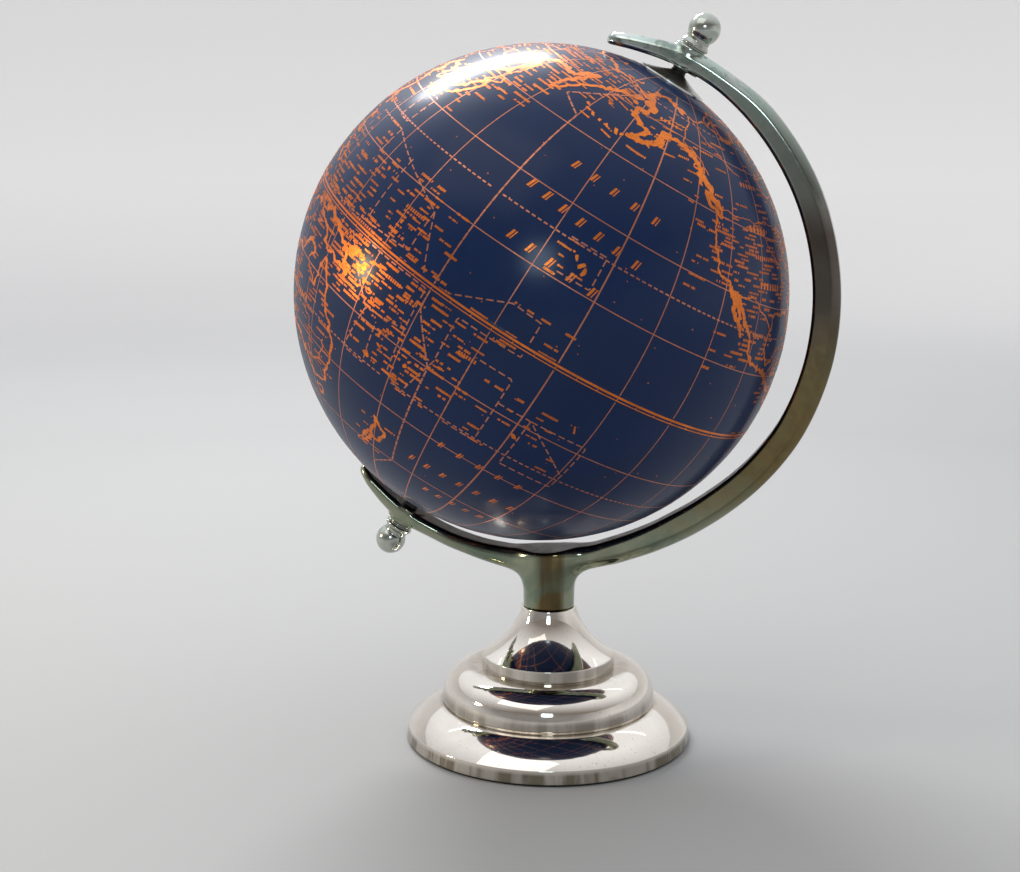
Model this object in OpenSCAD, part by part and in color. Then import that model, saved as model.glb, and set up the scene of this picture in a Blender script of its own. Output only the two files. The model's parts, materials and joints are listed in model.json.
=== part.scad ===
// Desktop globe on a one-sided meridian arm and a three-step metal base.
// Millimetres. +Z is up. The origin is the centre of the felt's underside, on the stem's axis.
// The arm lies in the XZ plane, its arc on the +X side. The globe turns on an axle that leans to +X.

/* [Globe] */
// Diameter of the finished globe
globe_d = 203.2; // [160:0.1:260]
// Lean of the axle from upright, degrees
tilt = 31.5; // [20:0.5:36]
// How far the globe's centre stands from the stem's axis, along X
globe_offset = -4.6; // [-8:0.1:0]
// Wall of each moulded half
shell_wall = 1.6; // [1.2:0.1:3]
// Thickness of the printed paper skin
skin_wall = 0.25; // [0.15:0.05:0.4]
// Width of the tape over the seam
tape_w = 3.6; // [2:0.1:8]
// Thickness of the tape
tape_t = 0.15; // [0.1:0.05:0.3]
// Height of the ring that joins the halves inside
ring_h = 16; // [8:1:30]
// Wall of that ring
ring_wall = 1.2; // [0.8:0.1:2]

/* [Axle] */
// Diameter of the axle rod
rod_d = 4; // [3:0.1:6]
// Radial running clearance of the bushes and the cap on the rod
run_gap = 0.05; // [0.02:0.01:0.1]
// Gap at each thrust face
thrust_gap = 0.1; // [0.05:0.05:0.3]
// How far the rod screws into each finial
rod_grip = 8.5; // [5:0.5:9]
// How deep each finial's thread bites into the rod
thread_bite = 0.12; // [0.05:0.01:0.2]

/* [Pole fittings] */
// Diameter of the cap's rim on the north pole
cap_d = 28.5; // [20:0.5:40]
// Height of the cap above the pole
cap_h = 3.6; // [3:0.1:4.2]
// Diameter of the cap's neck
cap_neck_d = 6.2; // [5.4:0.1:9]
// Thickness of the cap's sheet metal
cap_wall = 0.7; // [0.5:0.1:1]
// Diameter of the bush sleeve in each pole hole
bush_d = 8; // [7:0.5:10]
// Diameter of the bush flange inside the shell
flange_d = 16; // [14:0.5:24]
// Thickness of the bush flange
flange_t = 1.5; // [1:0.1:3]
// How far each bush sleeve reaches into the globe
bush_len = 12; // [8:1:20]
// Wall of the tube between the bushes
tube_wall = 1.5; // [1:0.1:3]
// Diameter of the south eyelet's head
eyelet_d = 11; // [10:0.5:14]
// Thickness of the south eyelet's head
eyelet_t = 0.8; // [0.5:0.1:1.2]
// Diameter of the spacers between the arm and the globe
spacer_d = 6.6; // [5.5:0.1:9]

/* [Arm] */
// Width of the arm across its flat, along Y
arm_w = 14; // [10:0.5:20]
// Width of the arm's flattened ends
paddle_w = 15; // [12:0.5:22]
// Diameter of the round seat under each finial
seat_d = 14.4; // [13:0.2:20]
// Gap between the globe and the arm's inner seat at the north pole
north_gap = 5.4; // [5:0.1:7]
// Gap between the globe and the arm's inner seat at the south pole
south_gap = 6.8; // [5:0.1:9]
// Thickness of the arm at the north seat
north_t = 9; // [6:0.1:12]
// Thickness of the arm at the south seat
south_t = 7.6; // [6:0.1:12]
// Radial clearance of the rod in the arm's holes
rod_hole_gap = 0.1; // [0.05:0.05:0.3]
// Gap between the globe and the saddle over the stem
saddle_gap = 6.2; // [5:0.1:10]
// Height of the stem from the base to the saddle
stem_h = 24.8; // [18:0.2:40]
// Diameter of the stem at its foot
stem_d = 21.6; // [18:0.2:23]
// Diameter of the stem at its top
stem_top_d = 23.6; // [20:0.2:26]
// Radius of the fillets where the arm meets the stem
fillet_r = 6.5; // [3:0.5:9]

/* [Finials] */
// Diameter of the ball
ball_d = 12.8; // [11:0.2:18]
// Diameter of the collar's foot
collar_d = 12; // [11:0.2:14]
// Diameter of the collar's neck under the ball
neck_d = 10; // [8:0.2:10.4]
// Distance from the collar's foot to the ball's centre
ball_rise = 7.8; // [7:0.1:10]
// Thickness of the flat washer under the upper finial
flat_washer_t = 0.8; // [0.5:0.1:1.5]
// Thickness of the stack of lock washers under the lower finial
lock_washer_t = 2.6; // [1.5:0.1:4]
// Outer diameter of the finial washers
finial_washer_d = 10.6; // [9:0.2:12]

/* [Base] */
// Diameter of the base at the table
base_d = 122; // [110:0.5:150]
// Thickness of the felt pad
felt_t = 1; // [0.6:0.1:2]
// Height of the upright lip round the base
lip_h = 5.4; // [3:0.1:8]
// Height of the flange's top above the table
flange_h = 16; // [14.5:0.1:22]
// Diameter of the dome tier
dome_d = 91; // [80:0.5:96]
// Height of the dome tier
dome_h = 15.7; // [12:0.1:22]
// Diameter of the cone tier's band
band_d = 57; // [48:0.5:60]
// Height of the band
band_h = 5.1; // [3:0.1:8]
// Height of the cone above its band
cone_h = 21; // [16:0.5:30]
// Wall of the three tiers
tier_wall = 2.4; // [1.6:0.1:3]
// Diameter of the ballast disc
ballast_d = 82; // [60:1:86]

/* [Base bolt] */
// Diameter of the bolt's shank
bolt_d = 8; // [6:0.5:8]
// Width of the bolt's head across its flats
bolt_head_af = 13; // [10:0.5:13]
// Height of the bolt's head
bolt_head_h = 5.3; // [4:0.1:5.5]
// How far the bolt screws into the stem
bolt_grip = 18; // [12:1:20]
// Thickness of the spring washer under the head
spring_washer_t = 1.8; // [1:0.1:2]
// Outer diameter of the spring washer
spring_washer_d = 14.8; // [12:0.2:16]
// Thickness of the flat washer
bolt_washer_t = 1.6; // [1:0.1:2]
// Outer diameter of the flat washer
bolt_washer_d = 30; // [20:1:32]
// Radial clearance round the bolt
bolt_gap = 0.4; // [0.2:0.1:0.6]

/* [Hidden] */
$fn = 96;
STEP_ANGLE = 2.5;   // turn between two points of the arm's outline, degrees
ARC_STEPS = 16;     // straight pieces in each curved stretch of a turned outline
CUT = 40;           // reach of a cutting block or cylinder beyond what it cuts
SPLIT_W = 1.2;      // width of the split in a spring washer

globe_r = globe_d / 2;
skin_in_r = globe_r - skin_wall;
shell_in_r = skin_in_r - shell_wall;
rod_r = rod_d / 2;
run_r = rod_r + run_gap;

flange_top_z = flange_h;
dome_top_z = flange_top_z + dome_h;
band_top_z = dome_top_z + band_h;
base_top_z = band_top_z + cone_h;
saddle_z = base_top_z + stem_h;
globe_z = saddle_z + saddle_gap + globe_r;

// Stations along the axle, measured from the globe's centre towards the north
north_seat_in = globe_r + north_gap;
north_seat_out = north_seat_in + north_t;
south_seat_in = globe_r + south_gap;
south_seat_out = south_seat_in + south_t;
upper_finial_z = north_seat_out + flat_washer_t;
lower_finial_z = south_seat_out + lock_washer_t;

// Angles are in the XZ plane about the globe's centre, from straight down towards +X
south_a = -tilt;
north_a = 180 - tilt;
south_tail = 14.5;
north_tail = 17;

// Gap between the globe and the arm's inner face, by angle
ARM_GAP = [
  [south_a - south_tail, 5.2], [south_a - 8, 5.9], [south_a, south_gap], [south_a + 8, 7],
  [-14, 6.8], [-6, 6.1], [2.5, saddle_gap], [10, 5.2], [20, 4], [32, 3.7], [42, 4.8], [52, 6.8],
  [63, 8.6], [78, 9.2], [92, 9.2], [112, 8.6], [north_a - 18, 7.6], [north_a - 9, 7],
  [north_a, north_gap], [north_a + 8, 3.7], [north_a + north_tail, 2.5]
];

// Thickness of the arm, by angle
ARM_THICK = [
  [south_a - south_tail, 3.2], [south_a - 8, 5.8], [south_a, south_t], [south_a + 8, 6.7],
  [-14, 7.8], [-6, 10], [2.5, 11], [10, 10.8], [20, 11.4], [32, 12.3], [42, 12.4], [52, 12],
  [63, 11.8], [78, 11.7], [92, 11.4], [112, 11.2], [north_a - 18, 10.6], [north_a - 9, 8.6],
  [north_a, north_t], [north_a + 8, 7], [north_a + north_tail, 5]
];

function arm_in(a) = globe_r + lookup(a, ARM_GAP);
function arm_out(a) = arm_in(a) + lookup(a, ARM_THICK);
function polar(r, a) = [r * sin(a), -r * cos(a)];

// Points of a circular arc from p to q that bulges by "rise" to the left of the way from p to q
function arc(p, q, rise) =
  let (
    chord = norm(q - p),
    radius = (chord * chord / 4 + rise * rise) / (2 * rise),
    left = [p.y - q.y, q.x - p.x] / chord,
    centre = (p + q) / 2 + left * (rise - radius),
    start = atan2(p.y - centre.y, p.x - centre.x),
    finish = atan2(q.y - centre.y, q.x - centre.x),
    turn = finish - start,
    sweep = turn > 180 ? turn - 360 : turn < -180 ? turn + 360 : turn
  )
  [for (i = [0:ARC_STEPS])
    let (t = start + sweep * i / ARC_STEPS)
    centre + abs(radius) * [cos(t), sin(t)]];

// Points of a rounded shoulder from the side of a dome up to its flat top
function shoulder(inner_r, side, foot_z, top, power) =
  [for (i = [0:ARC_STEPS])
    let (t = 90 * i / ARC_STEPS)
    [inner_r + side * pow(max(cos(t), 0), 2 / power), foot_z + top * pow(sin(t), 2 / power)]];

module about_globe() {
  translate([globe_offset, 0, globe_z]) children();
}

module on_axle() {
  about_globe() rotate([0, tilt, 0]) children();
}

// Stands a turned shape at the south end, its foot on the axle at "seat" from the centre
module at_south(seat) {
  on_axle() rotate([180, 0, 0]) translate([0, 0, seat]) children();
}

module at_north(seat) {
  on_axle() translate([0, 0, seat]) children();
}

module ring(outer_r, inner_r, height) {
  difference() {
    cylinder(r = outer_r, h = height);
    translate([0, 0, -CUT]) cylinder(r = inner_r, h = height + 2 * CUT);
  }
}

module split_ring(outer_r, inner_r, height) {
  difference() {
    ring(outer_r, inner_r, height);
    translate([0, -SPLIT_W / 2, -CUT]) cube([outer_r + CUT, SPLIT_W, height + 2 * CUT]);
  }
}

// Half of a hollow ball on the north side, open where the pole's bush goes through
module half_ball(outer_r, inner_r) {
  difference() {
    sphere(r = outer_r);
    sphere(r = inner_r);
    cylinder(d = bush_d, h = outer_r + CUT);
    translate([-2 * outer_r, -2 * outer_r, -4 * outer_r]) cube(4 * outer_r);
  }
}

// Band of a hollow ball about its equator
module ball_band(outer_r, inner_r, height) {
  intersection() {
    difference() {
      sphere(r = outer_r);
      sphere(r = inner_r);
    }
    translate([-2 * outer_r, -2 * outer_r, -height / 2]) cube([4 * outer_r, 4 * outer_r, height]);
  }
}

/* Base */

LIP_DRAFT = 0.8;       // how much narrower the lip is at its top
FLANGE_LAND = 0.3;     // width of the flange's flat land round the dome
FLANGE_RISE = 1.3;     // bulge of the flange's sloping face
CONE_HOLLOW = 2.8;     // how far the cone's face curves inwards
TUCK = 0.6;            // how far the dome's foot tucks under
TUCK_H = 1.4;          // height of that tuck
SHOULDER = 15.5;       // width of the dome's rounded shoulder
SHOULDER_POWER = 2.4;  // squareness of the shoulder, 2 being an ellipse
CONE_LAND = 0.9;       // width of the land round the stem's foot
BAND_DRAFT = 0.3;      // how much narrower the band is at its top

bolt_hole_r = bolt_d / 2 + bolt_gap;
base_r = base_d / 2;
dome_r = dome_d / 2;
band_r = band_d / 2;
cone_top_r = stem_d / 2 + CONE_LAND;

// A turned wall: its outer outline from the foot up, its inner one back down
module turned(outer, inner) {
  rotate_extrude() polygon(concat(outer, inner));
}

module felt_pad() {
  color("#2b2f2c") cylinder(r = base_r - tier_wall / 2, h = felt_t);
}

module base_flange() {
  crease = [base_r - LIP_DRAFT, felt_t + lip_h];
  land = [dome_r + FLANGE_LAND, flange_top_z];
  wall = [tier_wall, tier_wall];
  outer = concat(
    [[base_r, felt_t]],
    arc(crease, land, -FLANGE_RISE),
    [[bolt_hole_r, flange_top_z]]
  );
  inner = concat(
    [[bolt_hole_r, flange_top_z - tier_wall]],
    arc(land - wall, crease - wall, FLANGE_RISE),
    [[base_r - tier_wall, felt_t]]
  );
  color("#cfc9bd") turned(outer, inner);
}

module base_dome() {
  side_z = flange_top_z + TUCK_H;
  side_h = dome_top_z - side_z;
  top_r = dome_r - SHOULDER;
  outer = concat(
    [[dome_r - TUCK, flange_top_z]],
    shoulder(top_r, SHOULDER, side_z, side_h, SHOULDER_POWER),
    [[bolt_hole_r, dome_top_z]]
  );
  hollow = shoulder(top_r - tier_wall, SHOULDER, side_z, side_h - tier_wall, SHOULDER_POWER);
  inner = concat(
    [[bolt_hole_r, dome_top_z - tier_wall]],
    [for (i = [ARC_STEPS:-1:0]) hollow[i]],
    [[dome_r - TUCK - tier_wall, flange_top_z]]
  );
  color("#d3cdc2") turned(outer, inner);
}

module base_cone() {
  foot = [band_r - BAND_DRAFT, band_top_z];
  top = [cone_top_r, base_top_z];
  inside_foot = [foot.x - tier_wall, band_top_z - tier_wall / 2];
  inside_top = [cone_top_r - tier_wall, base_top_z - tier_wall];
  outer = concat([[band_r, dome_top_z]], arc(foot, top, CONE_HOLLOW), [[bolt_hole_r, base_top_z]]);
  inner = concat(
    [[bolt_hole_r, base_top_z - tier_wall]],
    arc(inside_top, inside_foot, -CONE_HOLLOW),
    [[band_r - tier_wall, dome_top_z]]
  );
  color("#d3cdc2") turned(outer, inner);
}

BALLAST_FLOOR = 4.4;   // height of the ballast's underside above the table
POCKET_ROOF = 2;       // thickness of the ballast above its pocket for the washer
POCKET_GAP = 1.5;      // radial room round the washer in the pocket
SHANK_SINK = 1;        // how far the bolt's shank runs into its head

ballast_top_z = flange_top_z - tier_wall;
washer_top_z = ballast_top_z - POCKET_ROOF;
washer_z = washer_top_z - bolt_washer_t;
spring_z = washer_z - spring_washer_t;
head_z = spring_z - bolt_head_h;

module ballast_disc() {
  color("#3c3d3f") difference() {
    translate([0, 0, BALLAST_FLOOR]) cylinder(d = ballast_d, h = ballast_top_z - BALLAST_FLOOR);
    cylinder(r = bolt_hole_r, h = flange_top_z + CUT);
    cylinder(r = bolt_washer_d / 2 + POCKET_GAP, h = washer_top_z);
  }
}

module base_bolt() {
  shank_z = spring_z - SHANK_SINK;
  color("#8d8f92") {
    translate([0, 0, head_z]) cylinder(d = bolt_head_af / cos(30), h = bolt_head_h, $fn = 6);
    translate([0, 0, shank_z]) cylinder(d = bolt_d, h = base_top_z + bolt_grip - shank_z);
  }
}

module spring_washer() {
  color("#77797c") translate([0, 0, spring_z])
    split_ring(spring_washer_d / 2, bolt_hole_r, spring_washer_t);
}

module bolt_washer() {
  color("#9b9da0") translate([0, 0, washer_z])
    ring(bolt_washer_d / 2, bolt_hole_r, bolt_washer_t);
}

/* Arm */

arm_first = south_a - south_tail;
arm_last = north_a + north_tail;
arm_steps = ceil((arm_last - arm_first) / STEP_ANGLE);
ARM_ANGLES = [for (i = [0:arm_steps]) arm_first + (arm_last - arm_first) * i / arm_steps];
THREAD_ROOM = 4;       // depth of the stem's hole past the bolt's end
STEM_SINK = 4;         // how far the stem runs up past the saddle before it is hollowed
WEB_SINK = 0.6;        // how far a corner web starts inside the stem's side
WEB_IN = 3;            // how far a corner web reaches into the stem
WEB_UP = 2;            // how far a corner web reaches into the arm
PADDLE_TAIL = 25;      // turn from a seat to beyond the tail, degrees
PADDLE_ROOT = 6;       // turn from a seat to where its widened end stops, degrees

module arm_outline() {
  polygon(concat(
    [for (a = ARM_ANGLES) polar(arm_out(a), a)],
    [for (i = [len(ARM_ANGLES) - 1:-1:0]) polar(arm_in(ARM_ANGLES[i]), ARM_ANGLES[i])]
  ));
}

// Extrudes an XZ outline evenly to both sides of the arm's plane
module upright(width) {
  rotate([90, 0, 0]) translate([0, 0, -width / 2]) linear_extrude(width) children();
}

// Web in the corner between the stem's side at x and the arm's underside; side is +1 or -1
module corner_web(side) {
  x = side * (stem_top_d / 2 - WEB_SINK);
  far_x = x + side * fillet_r;
  a = asin((far_x - globe_offset) / arm_out(0));
  under_z = globe_z - arm_out(a) * cos(a);
  inner_x = x - side * WEB_IN;
  foot_z = under_z - fillet_r;
  top_z = under_z + WEB_UP;
  difference() {
    polygon([[inner_x, foot_z], [far_x, foot_z], [far_x, top_z], [inner_x, top_z]]);
    translate([far_x, foot_z]) circle(r = fillet_r);
  }
}

module seat_boss(inner, outer) {
  translate([0, 0, inner]) cylinder(d = seat_d, h = outer - inner);
}

// Sector about the globe's centre that holds one widened end of the arm
module paddle_zone(seat_angle, tail_side) {
  reach = globe_r + CUT;
  polygon([
    [0, 0],
    polar(reach, seat_angle + tail_side * PADDLE_TAIL),
    polar(reach, seat_angle),
    polar(reach, seat_angle - tail_side * PADDLE_ROOT)
  ]);
}

// The stem, its top hollowed to the round of the globe
module stem() {
  difference() {
    translate([0, 0, base_top_z]) cylinder(d1 = stem_d, d2 = stem_top_d, h = stem_h + STEM_SINK);
    about_globe() sphere(r = globe_r + saddle_gap);
  }
}

module meridian_arm() {
  color("#9c9d92") difference() {
    union() {
      about_globe() upright(arm_w) arm_outline();
      about_globe() upright(paddle_w) intersection() {
        arm_outline();
        union() {
          paddle_zone(south_a, -1);
          paddle_zone(north_a, 1);
        }
      }
      upright(arm_w) {
        corner_web(1);
        corner_web(-1);
      }
      stem();
      on_axle() seat_boss(north_seat_in, north_seat_out);
      on_axle() rotate([180, 0, 0]) seat_boss(south_seat_in, south_seat_out);
    }
    on_axle() translate([0, 0, -globe_r - CUT])
      cylinder(r = rod_r + rod_hole_gap, h = 2 * (globe_r + CUT));
    at_north(north_seat_out) cylinder(d = seat_d, h = CUT);
    at_south(south_seat_out) cylinder(d = seat_d, h = CUT);
    at_north(north_seat_in - CUT) cylinder(d = seat_d, h = CUT);
    at_south(south_seat_in - CUT) cylinder(d = seat_d, h = CUT);
    translate([0, 0, base_top_z - CUT])
      cylinder(r = bolt_d / 2 - thread_bite, h = CUT + bolt_grip + THREAD_ROOM);
  }
}

/* Axle and its fasteners */

COLLAR_LAND = 0.9;     // height of the collar's upright foot
COLLAR_H = 2.2;        // height at which the collar meets its neck
NECK_SINK = 0.6;       // how far the neck runs into the ball
ROD_END_ROOM = 0.3;    // room past the rod's end in a finial

module axle_rod() {
  low = lower_finial_z + rod_grip;
  high = upper_finial_z + rod_grip;
  color("#6f7174") on_axle() translate([0, 0, -low]) cylinder(r = rod_r, h = low + high);
}

module finial() {
  neck_z = ball_rise - sqrt(ball_d * ball_d - neck_d * neck_d) / 2 + NECK_SINK;
  rotate_extrude() difference() {
    union() {
      polygon([
        [0, 0],
        [collar_d / 2, 0],
        [collar_d / 2, COLLAR_LAND],
        [neck_d / 2, COLLAR_H],
        [neck_d / 2, neck_z],
        [0, neck_z]
      ]);
      intersection() {
        translate([0, ball_rise]) circle(d = ball_d);
        square([ball_d, ball_rise + ball_d]);
      }
    }
    translate([-CUT, -CUT])
      square([CUT + rod_r - thread_bite, CUT + rod_grip + ROD_END_ROOM]);
  }
}

module upper_finial() {
  color("#b9b5a9") at_north(upper_finial_z) finial();
}

module lower_finial() {
  color("#b9b5a9") at_south(lower_finial_z) finial();
}

module finial_flat_washer() {
  color("#8f8f88") at_north(north_seat_out)
    ring(finial_washer_d / 2, rod_r + rod_hole_gap, flat_washer_t);
}

module finial_lock_washer() {
  color("#8f8f88") at_south(south_seat_out)
    split_ring(finial_washer_d / 2, rod_r + rod_hole_gap, lock_washer_t);
}

module upper_spacer() {
  foot = globe_r + cap_h + thrust_gap;
  color("#26272a") at_north(foot)
    ring(spacer_d / 2, rod_r + rod_hole_gap, north_seat_in - foot);
}

module lower_spacer() {
  foot = globe_r + eyelet_t + thrust_gap;
  color("#26272a") at_south(foot)
    ring(spacer_d / 2, rod_r + rod_hole_gap, south_seat_in - foot);
}

/* Globe */

module north_shell() {
  color("#e6e2d6") on_axle() half_ball(skin_in_r, shell_in_r);
}

module south_shell() {
  color("#e6e2d6") on_axle() rotate([180, 0, 0]) half_ball(skin_in_r, shell_in_r);
}

module north_map() {
  color("#1c2c5c") on_axle() half_ball(globe_r, skin_in_r);
}

module south_map() {
  color("#182650") on_axle() rotate([180, 0, 0]) half_ball(globe_r, skin_in_r);
}

module joining_ring() {
  color("#c9c3b0") on_axle() ball_band(shell_in_r, shell_in_r - ring_wall, ring_h);
}

module equator_tape() {
  color("#c8682c") on_axle() ball_band(globe_r + tape_t, globe_r, tape_w);
}

CAP_HOLLOW = 0.9;      // how far the cap's flare curves inwards
SEAT_GAP = 0.02;       // film of adhesive under the cap's rim and the eyelet's head

// Height on the axle of a ball's surface at a given distance from the axle
function ball_z(ball_r, r) = sqrt(ball_r * ball_r - r * r);

// Where a fitting's foot stands on the globe at a given distance from the axle
function foot_z(r) = ball_z(globe_r, r) + SEAT_GAP;

module bush() {
  flange_z = ball_z(shell_in_r, flange_d / 2) - flange_t;
  top_z = ball_z(globe_r, bush_d / 2);
  difference() {
    union() {
      translate([0, 0, flange_z]) cylinder(d = flange_d, h = flange_t);
      translate([0, 0, top_z - bush_len]) cylinder(d = bush_d, h = bush_len);
    }
    cylinder(r = run_r, h = globe_r + CUT);
  }
}

module north_bush() {
  color("#efece2") on_axle() bush();
}

module south_bush() {
  color("#efece2") on_axle() rotate([180, 0, 0]) bush();
}

module axle_tube() {
  reach = ball_z(shell_in_r, flange_d / 2) - flange_t;
  color("#b59b74") on_axle() translate([0, 0, -reach]) ring(bush_d / 2 + tube_wall, bush_d / 2, 2 * reach);
}

module pole_cap() {
  top_z = globe_r + cap_h;
  rim_r = cap_d / 2;
  lip_r = rim_r - cap_wall;
  rim = [rim_r, foot_z(rim_r) + cap_wall];
  neck = [cap_neck_d / 2, top_z];
  hollow_top = [run_r + cap_wall, top_z - 2 * cap_wall];
  hollow_foot = [lip_r - cap_wall, foot_z(lip_r) + cap_wall / 4];
  color("#8a8b80") on_axle() rotate_extrude() polygon(concat(
    arc(rim, neck, CAP_HOLLOW),
    [[run_r, top_z], [run_r, hollow_top.y]],
    arc(hollow_top, hollow_foot, -CAP_HOLLOW),
    [[lip_r, foot_z(lip_r)], [rim_r, foot_z(rim_r)]]
  ));
}

module south_eyelet() {
  head_r = eyelet_d / 2;
  middle_r = (head_r + run_r) / 2;
  color("#c9a24e") at_south(0) rotate_extrude() polygon([
    [run_r, foot_z(run_r)],
    [middle_r, foot_z(middle_r)],
    [head_r, foot_z(head_r)],
    [head_r, globe_r + eyelet_t / 3],
    [head_r - eyelet_t, globe_r + eyelet_t],
    [run_r, globe_r + eyelet_t]
  ]);
}

felt_pad();
ballast_disc();
base_flange();
base_dome();
base_cone();
base_bolt();
spring_washer();
bolt_washer();
meridian_arm();
axle_rod();
upper_spacer();
lower_spacer();
finial_flat_washer();
finial_lock_washer();
upper_finial();
lower_finial();
north_shell();
south_shell();
north_map();
south_map();
joining_ring();
equator_tape();
north_bush();
south_bush();
axle_tube();
pole_cap();
south_eyelet();
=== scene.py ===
"""Finishes a desktop globe round its fixed frame: one operator for each group of pieces."""

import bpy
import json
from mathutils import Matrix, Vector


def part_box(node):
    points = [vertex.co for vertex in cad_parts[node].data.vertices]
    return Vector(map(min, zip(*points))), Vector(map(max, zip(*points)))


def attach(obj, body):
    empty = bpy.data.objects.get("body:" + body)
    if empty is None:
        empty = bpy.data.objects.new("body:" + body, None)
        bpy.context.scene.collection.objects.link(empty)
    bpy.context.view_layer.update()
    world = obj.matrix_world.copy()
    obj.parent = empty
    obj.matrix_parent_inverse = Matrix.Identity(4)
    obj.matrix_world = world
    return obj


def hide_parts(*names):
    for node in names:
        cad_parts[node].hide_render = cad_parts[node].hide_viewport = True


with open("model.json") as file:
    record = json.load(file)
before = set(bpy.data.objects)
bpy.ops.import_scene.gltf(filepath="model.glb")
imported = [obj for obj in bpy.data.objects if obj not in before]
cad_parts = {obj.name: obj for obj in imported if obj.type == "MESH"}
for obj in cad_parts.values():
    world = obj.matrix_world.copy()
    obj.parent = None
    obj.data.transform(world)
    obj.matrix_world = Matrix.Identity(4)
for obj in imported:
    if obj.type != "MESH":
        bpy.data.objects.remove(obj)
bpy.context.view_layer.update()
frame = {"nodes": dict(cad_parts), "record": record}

import json
import math

import bmesh
import bpy
import numpy as np
from mathutils import Matrix, Vector

bl_info = {
    "name": "Desktop globe",
    "version": (1, 0, 0),
    "blender": (4, 5, 0),
    "location": "3D View > Sidebar > Globe",
    "description": "Builds the finished surfaces of a desktop globe round its frame",
    "category": "Object",
}

MM = 0.001
JOINT = frame["record"]["behaviour"]["joints"][0]
CENTRE = np.array(JOINT["pos_m"])
NORTH = np.array(JOINT["axis"]) / np.linalg.norm(JOINT["axis"])
EAST = np.array([0.0, 1.0, 0.0])
AXLE = np.stack([np.cross(EAST, NORTH), EAST, NORTH], axis=1)  # columns: the globe's own X, Y and Z
GREENWICH = math.radians(78.14)  # turn of the prime meridian about the axle

GLOBE_R = round(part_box("north_map")[1].y, 4) - 0.00005
BASE_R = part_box("base_flange")[1].x / MM
FELT_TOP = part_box("base_flange")[0].z / MM
FLANGE_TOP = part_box("base_flange")[1].z / MM
DOME_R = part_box("base_dome")[1].x / MM
DOME_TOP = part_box("base_dome")[1].z / MM
BAND_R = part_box("base_cone")[1].x / MM
BASE_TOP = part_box("base_cone")[1].z / MM


def along_axle(node):
    """Lowest and highest distance of a turned node along the axle from the globe's centre, in mm."""
    mesh = frame["nodes"][node].data
    places = np.empty(len(mesh.vertices) * 3)
    mesh.vertices.foreach_get("co", places)
    heights = (places.reshape(-1, 3) - CENTRE) @ NORTH / MM
    return heights.min(), heights.max()


# ---------------------------------------------------------------- Sizes and colours


def length(name, about, value):
    """A length that a user can change."""
    return bpy.props.FloatProperty(name=name, description=about, default=value, unit="LENGTH")


def colour(name, about, value):
    """A colour that a user can change."""
    return bpy.props.FloatVectorProperty(
        name=name, description=about, default=value, size=3, min=0.0, max=1.0, subtype="COLOR"
    )


class GlobeSizes(bpy.types.PropertyGroup):
    """Sizes of the printed globe that can be changed."""

    line_width: length("Grid line", "Width of a meridian or parallel", 0.00040)
    coast_width: length("Coast line", "Mean width of a foil coast", 0.00085)
    foil_lift: length("Foil", "Height of the foil above the skin", 0.00005)
    label_height: length("Place mark", "Height of a row of place marks", 0.00095)


class ArmSizes(bpy.types.PropertyGroup):
    """Sizes of the cast arm that can be changed."""

    outer_edge: length("Outer edge", "Size of the bevel on the arm's outer edges", 0.0040)
    inner_edge: length("Inner edge", "Size of the bevel on the arm's inner edges", 0.0016)
    fillet: length("Fillet", "Reach of the blend between the arm and its stem", 0.0085)
    grain: length("Mesh step", "Size of the faces of the arm's skin", 0.00060)
    hand_finish: length("Hand finish", "Depth of the waves that grinding left", 0.00003)


class GlobeColours(bpy.types.PropertyGroup):
    """Colours of the object's finishes that can be changed."""

    navy: colour("Sea", "Ground of the map", (0.0035, 0.0170, 0.0680))
    foil: colour("Foil", "Foil of the coasts and names", (1.0, 0.27, 0.05))
    fine_foil: colour("Fine lines", "Foil of the thin grid lines", (0.72, 0.27, 0.16))
    base_metal: colour("Base", "Polished plate of the base", (0.86, 0.80, 0.72))
    arm_light: colour("Arm, light", "Rubbed plate of the arm", (0.56, 0.62, 0.57))
    arm_dark: colour("Arm, dark", "Toned plate of the arm", (0.20, 0.150, 0.068))
    finial_metal: colour("Finials", "Plate of the finials", (0.54, 0.57, 0.51))
    cap_metal: colour("Cap", "Plate of the cap on the pole", (0.64, 0.63, 0.56))


# ---------------------------------------------------------------- Shaping

TOUCHING = 1e-7     # points nearer than this are one, in metres
CORNER_STEPS = 5    # stretches in an eased corner
SIDE_GUARD = 0.12   # how far past an eased corner its side gets one more point, in mm
SUNK = 0.00006      # how far the foil's underside lies below the skin, in metres
WANDER = (          # length and depth of a coast's waves, in degrees
    (5.0, 0.34), (2.2, 0.24), (1.0, 0.15), (0.5, 0.09),
)


def grid_faces(rows, columns, close_rows, close_columns):
    """Quads between neighbouring points of a grid numbered row by row."""
    down = np.arange(rows if close_rows else rows - 1)[:, None]
    across = np.arange(columns if close_columns else columns - 1)[None, :]
    below = (down + 1) % rows
    right = (across + 1) % columns
    near, far = down * columns, below * columns
    corners = near + across, near + right, far + right, far + across
    return np.stack(np.broadcast_arrays(*corners), axis=-1).reshape(-1, 4)


def merge_doubles(mesh, dissolve=False):
    """Joins a mesh's points that lie in one place, and may dissolve the edges that have no length left."""
    work = bmesh.new()
    work.from_mesh(mesh)
    bmesh.ops.remove_doubles(work, verts=work.verts, dist=TOUCHING)
    if dissolve:
        bmesh.ops.dissolve_degenerate(work, edges=work.edges, dist=TOUCHING)
    work.to_mesh(mesh)
    work.free()


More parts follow.
